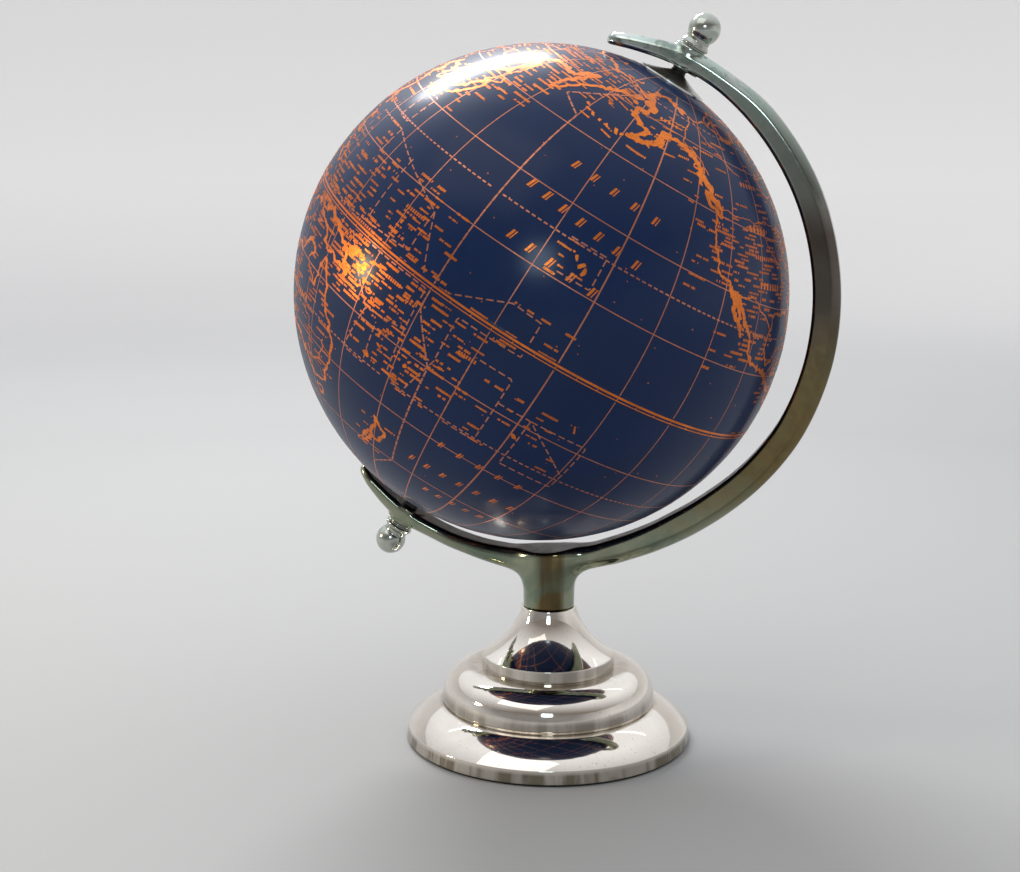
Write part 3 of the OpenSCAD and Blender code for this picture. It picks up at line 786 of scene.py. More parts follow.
def arm_skin(points, lines, outer_edge, inner_edge, fillet, hand):
    """Distance in mm of points from the arm's skin, below zero inside. The bar is a rounded box bent about
    the globe: its sides are distances across the bar, along Y and past its ends. The stem is a cone. The
    two are blended, then the room round the globe, the seats, the rod's hole and the bolt's bore are
    cut."""
    fine, (gaps, thicknesses, widths) = lines
    q = points - CENTRE / MM
    radius = np.hypot(q[:, 0], q[:, 2])
    angle = np.degrees(np.arctan2(q[:, 0], -q[:, 2]))
    inner = GLOBE_R / MM + np.interp(angle, fine, gaps)
    half = np.interp(angle, fine, thicknesses) / 2
    wide = np.interp(angle, fine, widths)
    across = radius - inner - half
    first, last = ARM_STATIONS[0][0], ARM_STATIONS[-1][0]
    past = radius * np.radians(np.maximum(angle - last, first - angle))
    tip = np.clip(1 + past / TIP_REACH, 0, 1)
    wide = wide - TIP_LOSS * tip**2
    lean = np.clip(0.5 + across / (1.2 * half), 0, 1)
    junction = np.exp(-((angle / JUNCTION_ANGLE) ** 2))
    edge = inner_edge * (1 + 1.1 * junction) + (outer_edge - inner_edge) * lean**2 * (3 - 2 * lean)
    edge = np.minimum(edge, 0.85 * half)
    wave = np.sin(angle * 0.21 + 0.2 * points[:, 1]) + np.sin(angle * 0.47 + 1.3) * np.cos(0.3 * across)
    wave += junction * 5 * (1 + np.sin(angle * 0.62 + 0.5 * across) * np.cos(angle * 0.17 + 0.6))
    sides = np.stack([np.abs(across) - half, np.abs(points[:, 1]) - wide, past]) + edge
    outside = (np.maximum(sides, 0) ** EDGE_POWER).sum(0) ** (1 / EDGE_POWER)
    bar = outside + np.minimum(sides.max(0), 0) - edge + hand * (wave + 2.2)

    ring = np.hypot(points[:, 0], points[:, 1])
    saddle = CENTRE[2] / MM - GLOBE_R / MM - SADDLE_GAP
    up = np.clip((points[:, 2] - BASE_TOP) / (saddle - BASE_TOP), 0, 1)
    stem = ring - (STEM_FOOT_R + (STEM_TOP_R - STEM_FOOT_R) * up)
    stem = soft_max(stem, points[:, 2] - CENTRE[2] / MM, 1.0)
    body = soft_min(bar, stem, fillet)
    body = soft_max(body, np.abs(points[:, 1]) - STEM_WIDEST, 1.6)
    body = soft_max(body, inner - radius, 1.6)
    body = soft_max(body, BASE_TOP - points[:, 2], 0.7)

    along = q @ NORTH
    aside = np.linalg.norm(q - along[:, None] * NORTH, axis=1)
    for way, (seat_in, seat_out) in zip((1, -1), SEATS):
        high = way * along
        past_boss = np.abs(high - (seat_in + seat_out) / 2) - (seat_out - seat_in) / 2
        boss = np.maximum(aside - SEAT_R, past_boss)
        body = soft_min(body, boss, 0.8)
        outer_room = np.maximum(aside - SEAT_R, seat_out - high)
        inner_room = np.maximum(aside - SEAT_R, np.maximum(high - seat_in, 60 - high))
        body = soft_max(body, -np.minimum(outer_room, inner_room), 0.4)
    body = np.maximum(body, ROD_HOLE_R - aside)
    return np.maximum(body, np.minimum(BORE_R - ring, BORE_TOP - points[:, 2]))


def draw_to_skin(points, field, rounds):
    """Newton's steps along the field's slope, worked out from the field a little to each side."""
    for _ in range(rounds):
        value = field(points)
        slope = np.stack([
            field(points + shift) - field(points - shift) for shift in np.eye(3) * SLOPE_STEP
        ], axis=1) / (2 * SLOPE_STEP)
        step = np.clip(value / np.maximum((slope**2).sum(1), 0.2), -SLOPE_REACH, SLOPE_REACH)
        points = points - slope * step[:, None]
    return points


class DESKGLOBE_OT_arm(PieceOperator, bpy.types.Operator):
    """Casts the arm and its stem in one skin"""

    bl_idname = "deskglobe.arm"
    bl_label = "Arm"

    def execute(self, context):
        sizes = context.scene.arm_sizes
        source = frame["nodes"]["meridian_arm"].data.copy()
        merge_doubles(source)
        rough = bpy.data.objects.new("arm_cast", source)
        context.scene.collection.objects.link(rough)
        remesh = rough.modifiers.new("Skin", "REMESH")
        remesh.mode = "VOXEL"
        remesh.voxel_size = sizes.grain
        even = rough.evaluated_get(context.evaluated_depsgraph_get())
        mesh = bpy.data.meshes.new_from_object(even)
        rough.modifiers.clear()
        rough.data = mesh

        points = np.empty(len(mesh.vertices) * 3)
        mesh.vertices.foreach_get("co", points)
        points = points.reshape(-1, 3) / MM
        ends = np.empty(len(mesh.edges) * 2, int)
        mesh.edges.foreach_get("vertices", ends)
        ends = ends.reshape(-1, 2)
        count = np.bincount(ends.ravel(), minlength=len(points))[:, None]
        lines = arm_lines()
        lengths = sizes.outer_edge, sizes.inner_edge, sizes.fillet, sizes.hand_finish

        def field(places):
            return arm_skin(places, lines, *(value / MM for value in lengths))

        points = draw_to_skin(points, field, 6)
        for _ in range(8):
            sums = np.stack([
                np.bincount(ends[:, 0], points[ends[:, 1], k], len(points))
                + np.bincount(ends[:, 1], points[ends[:, 0], k], len(points))
                for k in range(3)
            ], axis=1)
            points = draw_to_skin(0.5 * points + 0.5 * sums / count, field, 1)
        points = draw_to_skin(points, field, 2)
        mesh.vertices.foreach_set("co", (points * MM).ravel())
        mesh.update()
        mesh.shade_smooth()
        metal = finished(finish_arm, "arm_nickel", context.scene.globe_colours)
        settle(rough, metal, "stand", "arm_nickel", "meridian_arm")
        return {"FINISHED"}


FINIAL_BALL_R, FINIAL_CENTRE, FINIAL_NECK_R = 6.4, 7.8, 5.0  # the centre's height is above the seat
FINIAL_BORE_R, FINIAL_BORE = 1.9, 8.8   # blind bore for the rod's thread
WASHER_R = 5.3
NECK_R, NECK_WAIST_R = 3.3, 3.15
RUN_R = 2.05            # bore of what turns on the rod
FILM = 0.02             # adhesive under the cap's rim and the eyelet's head
CAP_RIM_R, CAP_LIP_R, CAP_WALL = 14.25, 13.55, 0.7
CAP_NECK_R, CAP_THROAT_R = 3.1, 2.75
EYELET_R, EYELET_TOP_R, EYELET_H = 5.5, 4.7, 0.8


def finial_outline(foot):
    """Collar, neck and ball of a finial, its bore for the rod below."""
    low = -math.acos(FINIAL_NECK_R / FINIAL_BALL_R)
    turn = np.linspace(low, math.pi / 2, 40)
    ball = np.stack([FINIAL_BALL_R * np.cos(turn), FINIAL_CENTRE + FINIAL_BALL_R * np.sin(turn)], axis=1)
    ball[-1, 0] = 0
    run = (2.0, 0), (6.0, 0), (6.0, 0.9), (5.05, 2.3), (FINIAL_NECK_R, 2.9)
    collar = eased_run(run, (0, 0.3, 0.3, 0.5, 0))
    bore = [(0, FINIAL_BORE), (FINIAL_BORE_R, FINIAL_BORE)]
    outline = np.concatenate([bore, collar, ball[ball[:, 1] > 3.3]])
    outline[:, 1] += foot
    return outline


def eased_run(points, radii):
    """Open outline with rounded corners."""
    points = np.array(points, float)
    loop = eased(*((point[None], radius) for point, radius in zip(points, radii)))
    start = np.argmin(np.linalg.norm(loop - points[0], axis=1))
    return np.roll(loop, -start, 0)


def ridges(outer, inner, low, high, count, depth):
    """Outline of a stack of washers: a wall with one rounded ridge for each, the root of a sine's size."""
    rows = np.linspace(0, 1, count * 12 + 1)
    wave = np.abs(np.sin(math.pi * count * rows)) ** 0.5
    face = np.stack([outer - depth * (1 - wave), low + (high - low) * rows], axis=1)
    return np.concatenate([face, [(inner, high), (inner, low)]])


def on_ball(radius):
    """Height above the globe's centre, in mm, of a rim of some radius that lies on the ball."""
    return np.sqrt((GLOBE_R / MM) ** 2 - np.square(radius)) + FILM


def ends_from(place, node):
    """Lowest and highest distance of a turned node from the globe's centre, towards its own pole."""
    low, high = along_axle(node)
    return (low, high) if place is at_north else (-high, -low)


class DESKGLOBE_OT_fittings(PieceOperator, bpy.types.Operator):
    """Turns the finials, washers, spacers, cap and eyelet on the axle"""

    bl_idname = "deskglobe.fittings"
    bl_label = "Axle fittings"

    def execute(self, context):
        colours = context.scene.globe_colours
        bright = finished(finish_plate, "finial_nickel", colours.finial_metal, 0.085)
        dull = finished(finish_plate, "washer_nickel", shade(colours.finial_metal, 0.72), 0.16)
        black = finished(finish_solid, "black_nylon", (0.020, 0.020, 0.022), 0.30, 0.0012, 0.00003)
        sides = (("top", "upper", at_north), ("low", "lower", at_south))
        for short, word, place in sides:
            node = f"{word}_finial"
            outline = finial_outline(ends_from(place, node)[0])
            finial = turned(f"finial_{short}", outline, place, 96, closed=False)
            settle(finial, bright, "stand", "finial_nickel", node)

        low, high = along_axle("finial_flat_washer")
        corners = (ROD_HOLE_R, low), (WASHER_R, low), (WASHER_R, high), (ROD_HOLE_R, high)
        washer = turned("washer_flat", eased((corners, 0.18)), at_north, 96)
        settle(washer, dull, "stand", "washer_nickel", "finial_flat_washer")
        low, high = ends_from(at_south, "finial_lock_washer")
        washer = turned("washer_stack", ridges(WASHER_R, ROD_HOLE_R, low, high, 3, 0.5), at_south, 96)
        settle(washer, dull, "stand", "washer_nickel", "finial_lock_washer")

        for short, word, place in sides:
            node = f"{word}_spacer"
            low, high = ends_from(place, node)
            waist = bow((NECK_WAIST_R, low + 0.3), (NECK_WAIST_R, high - 0.3), 0.25, 8)
            foot, head = ((ROD_HOLE_R, low), (NECK_R, low)), ((NECK_R, high), (ROD_HOLE_R, high))
            neck = turned(f"neck_{short}", eased((foot, 0.12), (waist, 0), (head, 0.12)), place, 64)
            settle(neck, black, "stand", "black_nylon", node)

        top = along_axle("pole_cap")[1]
        throat = top - 2 * CAP_WALL
        rim, lip = (CAP_RIM_R, on_ball(CAP_RIM_R)), (CAP_LIP_R, on_ball(CAP_LIP_R))
        flare = bow((rim[0], rim[1] + CAP_WALL), (CAP_NECK_R, top), 0.35)
        under = bow((CAP_THROAT_R, throat), (lip[0] - CAP_WALL, lip[1] + CAP_WALL / 4), -0.9)
        outline = eased(
            (rim, 0.12), (flare[:1], 0.25), (flare[1:-1], 0), (flare[-1:], 0.3),
            ((RUN_R, top), 0), ((RUN_R, throat), 0), (under, 0), (lip, 0),
        )
        cap = finished(finish_cap, "cap_nickel", colours)
        settle(turned("cap_flared", outline, at_north, 160), cap, "globe", "cap_nickel", "pole_cap")

        ball = GLOBE_R / MM
        seat = np.linspace(RUN_R, EYELET_R, 6)
        sole = np.stack([seat, on_ball(seat)], axis=1)
        head = (EYELET_R, ball + 0.25), (EYELET_TOP_R, ball + EYELET_H)
        outline = eased((sole[:-1], 0), (sole[-1:], 0.08), (head, 0.25), ((RUN_R, ball + EYELET_H), 0))
        brass = finished(finish_plate, "eyelet_brass", (0.86, 0.62, 0.24), 0.15)
        eyelet = turned("eyelet_rolled", outline, at_south, 96)
        settle(eyelet, brass, "globe", "eyelet_brass", "south_eyelet")
        return {"FINISHED"}


class DESKGLOBE_OT_hardware(PieceOperator, bpy.types.Operator):
    """Finishes the pieces that keep the frame's own shapes"""

    bl_idname = "deskglobe.hardware"
    bl_label = "Inner hardware"

    def execute(self, context):
        steel = finished(finish_plate, "fastener_steel", (0.52, 0.53, 0.55), 0.24, 0.003)
        rod = finished(finish_plate, "axle_steel", (0.56, 0.56, 0.57), 0.18, 0.004)
        felt = finished(finish_solid, "felt", (0.030, 0.040, 0.034), 0.86, 0.0009, 0.0004, 0.45)
        iron = finished(finish_solid, "ballast_iron", (0.075, 0.076, 0.080), 0.62, 0.002, 0.0003)
        shell = finished(finish_solid, "shell_plastic", (0.74, 0.71, 0.62), 0.42, 0.003, 0.00005, 0.93)
        nylon = finished(finish_solid, "white_nylon", (0.80, 0.79, 0.74), 0.34, 0.002, 0.00003, 0.93)
        board = finished(finish_board, "tube_board", (0.20, 0.13, 0.07), (0.45, 0.32, 0.19))
        keepers = {
            "felt_pad": felt, "ballast_disc": iron, "base_bolt": steel, "spring_washer": steel,
            "bolt_washer": steel, "axle_rod": rod, "north_shell": shell, "south_shell": shell,
            "joining_ring": shell, "north_bush": nylon, "south_bush": nylon, "axle_tube": board,
        }
        for name, finish in keepers.items():
            for holder in frame["nodes"][name].material_slots:
                holder.material = finish
        return {"FINISHED"}


# ---------------------------------------------------------------- Globe

# Coasts as (longitude, latitude) points: name, closed or not, weight of the foil, points
ALASKA = [
    (-141, 69.6), (-148, 70.4), (-156.5, 71.3), (-162, 70), (-166.3, 68.3), (-163.5, 67), (-162, 66.2),
    (-168, 65.6), (-164.5, 64.5), (-161, 64.5), (-161, 63.5), (-164.5, 63.1), (-166, 61.6), (-164, 60.5),
    (-162.3, 59.6), (-158.5, 58.8), (-157.3, 58.6), (-158.5, 57.2), (-161.5, 55.9), (-164.8, 54.6),
    (-160.5, 55.1), (-157.5, 56.3), (-154.5, 57.7), (-153.8, 59.2), (-151.8, 60.8), (-149.8, 61.2),
    (-151.6, 59.4), (-149, 60), (-146.3, 60.8), (-143.8, 60), (-139.7, 59.6), (-137, 58.5),
    (-134.5, 57.5), (-132, 55.5), (-130.3, 54.2), (-128.5, 52.5), (-127.5, 51), (-124.8, 49.7),
    (-122.9, 49.1),
]
PACIFIC_STATES = [
    (-122.9, 49.1), (-122.4, 47.4), (-124.6, 48.3), (-124.1, 46.2), (-124.4, 43), (-124.2, 40.4),
    (-122.5, 37.6), (-121.7, 36.3), (-120.6, 34.6), (-118.4, 33.9), (-117.1, 32.5),
]
MEXICO_WEST = [
    (-117.1, 32.5), (-116, 30.6), (-114.3, 28.6), (-115, 27.8), (-112.2, 26), (-110.1, 23),
    (-110.5, 24.5), (-111.5, 26.5), (-113, 28.5), (-114.7, 31), (-114.7, 31.7), (-113, 30.8), (-112, 29),
    (-110.5, 27.3), (-109, 25.6), (-106.5, 23.4), (-105.4, 21.2), (-105.6, 20.3), (-103.5, 18.3),
    (-101.5, 17.6), (-98.5, 16.3), (-95, 16), (-93, 15.8), (-91.5, 14.1), (-88, 13.2), (-87.5, 12.6),
    (-85.8, 11), (-85.6, 9.9), (-83.6, 8.6), (-81.5, 7.6), (-80.2, 7.4), (-79.6, 8.9), (-77.9, 7.2),
]
ATLANTIC_NORTH = [
    (-77.3, 8.5), (-79.6, 9.4), (-82.2, 9.1), (-83.6, 10.8), (-83.4, 14.9), (-86, 15.9), (-88.5, 15.9),
    (-88, 18.4), (-87, 21.4), (-90.3, 21.2), (-91.5, 18.6), (-94.6, 18.2), (-97.3, 20.7), (-97.7, 24),
    (-97.2, 27.7), (-94.7, 29.4), (-90.3, 29.1), (-88.8, 30.3), (-85.3, 29.8), (-83.5, 29.5),
    (-82.7, 27.6), (-81.2, 25.2), (-80.1, 26.5), (-81.4, 30.5), (-79, 33.4), (-75.6, 35.3), (-76, 37),
    (-74, 40.4), (-70.2, 41.7), (-70.6, 43), (-67, 44.7), (-64.5, 45.4), (-65.5, 43.5), (-61, 45.3),
    (-64.5, 46.5), (-64.8, 49), (-69, 48.3), (-66.5, 50.2), (-60, 50.3), (-56, 52), (-57.5, 54.5),
    (-61.5, 57), (-64.5, 60.3), (-69.5, 58.8), (-70, 61), (-77.5, 62.5), (-77.3, 60), (-78.5, 58.5),
    (-76.7, 57), (-79.5, 54.7), (-79, 51.3), (-82.3, 53), (-82.3, 55.2), (-88, 56.6), (-92.5, 57),
    (-94.7, 58.9), (-94.5, 60.5), (-90.5, 63.5), (-87, 64.5), (-86, 66.3), (-82, 67), (-81.5, 69),
    (-85.5, 69.8), (-88, 68.8), (-90.5, 68.5), (-94, 69.5), (-94.5, 72), (-96.5, 70), (-98.5, 67.9),
    (-108, 67.7), (-115, 68), (-115.3, 69), (-124, 69.7), (-128, 70.3), (-134.5, 69.5), (-141, 69.6),
]
SOUTH_AMERICA = [
    (-77.9, 7.2), (-77.4, 4), (-78.9, 1.6), (-80, 0.2), (-80.9, -2.2), (-79.9, -3), (-81.3, -4.7),
    (-79.8, -7), (-77.2, -12), (-76.2, -14), (-71.5, -17.5), (-70.2, -19.5), (-70.5, -25.3), (-71.6, -30),
    (-71.6, -33.2), (-73.5, -37.2), (-73.7, -41.8), (-74.5, -45), (-75.5, -47), (-75, -50.5),
    (-73.5, -53), (-70.8, -55.1), (-66.5, -55.2), (-65.2, -54.7), (-68.3, -52.6), (-69, -50.3),
    (-65.9, -47.5), (-67.5, -45.8), (-65.2, -43.5), (-65, -41), (-62.3, -40.8), (-62, -38.8),
    (-57.6, -38.1), (-56.8, -36.3), (-58.4, -34.3), (-54.9, -34.9), (-52, -33), (-48.7, -28.5),
    (-48.3, -25.5), (-43.5, -23), (-41, -22), (-39.3, -17.8), (-38.5, -13), (-35.2, -9), (-34.9, -6.8),
    (-37.2, -4.8), (-41.5, -2.9), (-44.5, -2.5), (-48.5, -0.8), (-50, 1.2), (-51.8, 4.4), (-57, 6),
    (-60.5, 8.5), (-62, 10.6), (-68, 10.8), (-71.7, 12.3), (-71.5, 10.8), (-74.9, 11), (-76.8, 8.6),
    (-77.3, 8.5),
]
NORTH_ASIA = [
    (30, 59.9), (25, 60.3), (21.5, 61), (21.4, 63), (25.4, 65.1), (22, 65.8), (17.3, 61.5), (18.8, 59.9),
    (16.5, 56.8), (14.2, 55.4), (12.8, 56), (11, 59), (8, 58), (5.2, 59.5), (5.2, 62), (11, 64.8),
    (14.8, 68), (19.5, 70), (25.8, 71.1), (31, 70.3), (41, 67.5), (40.5, 66.4), (34.5, 66.7), (35, 64.4),
    (37.8, 64), (40, 64.7), (44, 66.2), (44, 68.3), (54, 68.5), (60.5, 69), (67, 68.8), (68.5, 72),
    (73, 71.2), (73, 67.9), (75, 72.7), (81, 73.6), (87, 75), (98, 76.3), (104.3, 77.7), (113, 75.8),
    (113, 73.8), (127, 72.6), (130, 71), (140, 72.6), (152, 71), (160.5, 69.7), (170.5, 69.9), (180, 69),
    (-175, 67.5), (-170, 66),
]
PACIFIC_ASIA = [
    (-170, 66), (-173, 64.3), (178, 64.6), (177.3, 62.5), (170, 60), (163.3, 58), (162, 56.2),
    (160, 53.2), (156.7, 51), (155.7, 54), (156.7, 57.5), (160.3, 60.6), (163.5, 62.5), (157, 61.7),
    (154.5, 59.5), (148, 59.4), (142, 59), (135.5, 54.8), (140.3, 53.8), (140.5, 50), (140.3, 47.5),
    (135.5, 44), (132, 43.2), (129.7, 41), (127.5, 39.6), (129.4, 37), (129, 35.2), (126.4, 34.5),
    (126.6, 37.6), (124.8, 39.5), (121.3, 39), (121.8, 40.8), (118, 39), (119, 37.2), (122.4, 37.2),
    (119.3, 35), (121.8, 32), (121.9, 29.9), (119.6, 25.7), (116.6, 23.2), (113.6, 22.2), (110.3, 21),
    (109.8, 21.5), (108, 21.5), (105.8, 19), (108.8, 15.4), (109.3, 12), (106.8, 10.4), (104.8, 8.7),
    (103, 11), (101, 12.7), (100.1, 13.4), (99.3, 10.3), (100.5, 7.2), (103.4, 4.3), (104.2, 1.4),
]
INDIAN_ASIA = [
    (104.2, 1.4), (103.4, 1.3), (100.6, 3.8), (100.3, 6.5), (98.3, 8.3), (98.6, 12.5), (97.6, 16.4),
    (94.3, 16), (94.2, 19), (91.8, 22.3), (89, 21.9), (87, 21.2), (85, 19.5), (82.2, 16.6), (80.1, 15),
    (79.9, 10.8), (78.2, 8.8), (77.5, 8.1), (75.8, 11.4), (73.5, 15.9), (72.8, 19), (72.6, 21.4),
    (70.4, 20.9), (69, 22.3), (66.7, 25), (61.7, 25.1), (57.3, 25.7), (56.5, 27.1), (52.5, 27.6),
    (50.2, 30), (48, 30), (48.3, 28.4), (50.2, 26.5), (51.5, 25.2), (54, 24.2), (56.4, 26.2),
    (59.8, 22.5), (55.5, 17.3), (52.2, 15.6), (45, 12.8), (43.4, 12.7), (42.7, 16.5), (39.2, 21.3),
    (35.3, 27.8), (34.9, 29.5), (32.7, 29.8),
]
EUROPE = [
    (32.7, 31.2), (34.2, 31.3), (35.9, 35.5), (36.2, 36.7), (33, 36.1), (30.6, 36.8), (27.3, 36.9),
    (26.3, 39.3), (29, 41), (31.5, 41.2), (35.1, 42), (38, 41), (41.5, 41.6), (39, 44), (37.5, 46.8),
    (35, 45.7), (33.5, 44.6), (33, 46.1), (30.8, 46.5), (28.6, 44), (28, 42), (26.2, 40.7), (23.8, 40.4),
    (23, 39), (24, 37.8), (22.5, 36.6), (21.3, 37.7), (19.4, 40.5), (19, 42), (15.2, 44.2), (13.6, 45.6),
    (12.4, 44.8), (13.6, 43.5), (15.9, 41.9), (18.4, 40.2), (16.6, 39.8), (16, 38), (14.5, 40.7),
    (11, 42.4), (8.8, 44.4), (6, 43.1), (3.2, 42.5), (0.2, 40), (-0.5, 38.4), (-2.2, 36.8), (-5.6, 36),
    (-8.9, 37), (-9.4, 38.8), (-8.8, 43.2), (-1.8, 43.4), (-1.2, 46), (-4.6, 48.4), (-1.6, 48.7),
    (1.6, 50.8), (4.8, 53), (8.4, 54), (8.2, 56.8), (10.5, 57.6), (10.9, 55.5), (10.9, 54), (14, 54),
    (19, 54.4), (21.1, 56.8), (24, 57.2), (23.5, 59.2), (30, 59.9),
]
AFRICA = [
    (-5.6, 35.8), (-2, 35.1), (10, 37.3), (10.9, 34.2), (15.2, 32.3), (20, 31), (20.1, 32.8), (25, 31.6),
    (32, 31.2), (32.6, 29.9), (35.6, 24), (37.2, 20.8), (39.5, 15.5), (43.2, 11.6), (51.2, 11.9),
    (47.8, 4.3), (42, -1), (39, -5), (40.6, -10.7), (40.6, -15), (35, -20), (35.5, -23.8), (32.8, -26.5),
    (30.8, -30.8), (26, -33.8), (19.9, -34.8), (18.3, -33.7), (15.2, -27), (14.4, -22.5), (11.8, -16.5),
    (13.8, -10.8), (12.2, -5.8), (8.8, -0.7), (9.6, 3.8), (6, 4.3), (1.2, 6), (-7.5, 4.4), (-13.2, 8.8),
    (-17.3, 14.7), (-16.1, 19), (-17, 21.3), (-13, 27.7), (-9.8, 30), (-9.7, 31.5), (-6, 35.8),
]
AUSTRALIA = [
    (114, -22), (113.5, -26), (115.7, -31.6), (115.1, -34.3), (118, -35), (123.5, -33.9), (129, -31.6),
    (134, -32.7), (137.8, -35.2), (138.2, -33.3), (139.5, -36), (143.5, -38.8), (147, -38.2),
    (150, -37.3), (151.5, -33), (153.3, -29), (152.9, -25.5), (149.2, -21.2), (146.2, -18.8),
    (145.3, -15), (142.5, -10.8), (141.6, -13), (140.8, -17.5), (137, -16), (135.5, -14.9),
    (136.8, -12.2), (132.6, -11.4), (129.7, -14.9), (126.8, -13.9), (124, -16.3), (122.2, -18),
    (119, -20),
]
ANTARCTICA = [
    (-60, -64), (-57, -63.3), (-62, -66), (-62, -72), (-60, -75), (-45, -78), (-30, -77), (-15, -73),
    (0, -70.5), (20, -70), (40, -69.5), (50, -67), (70, -68.5), (75, -69.8), (90, -66.7), (110, -66.3),
    (130, -66.2), (145, -67), (160, -69), (170, -71.5), (166, -77.5), (180, -78.3), (-160, -78.3),
    (-150, -77), (-135, -74.5), (-115, -74), (-100, -72.3), (-80, -73), (-68, -69), (-65, -66),
]
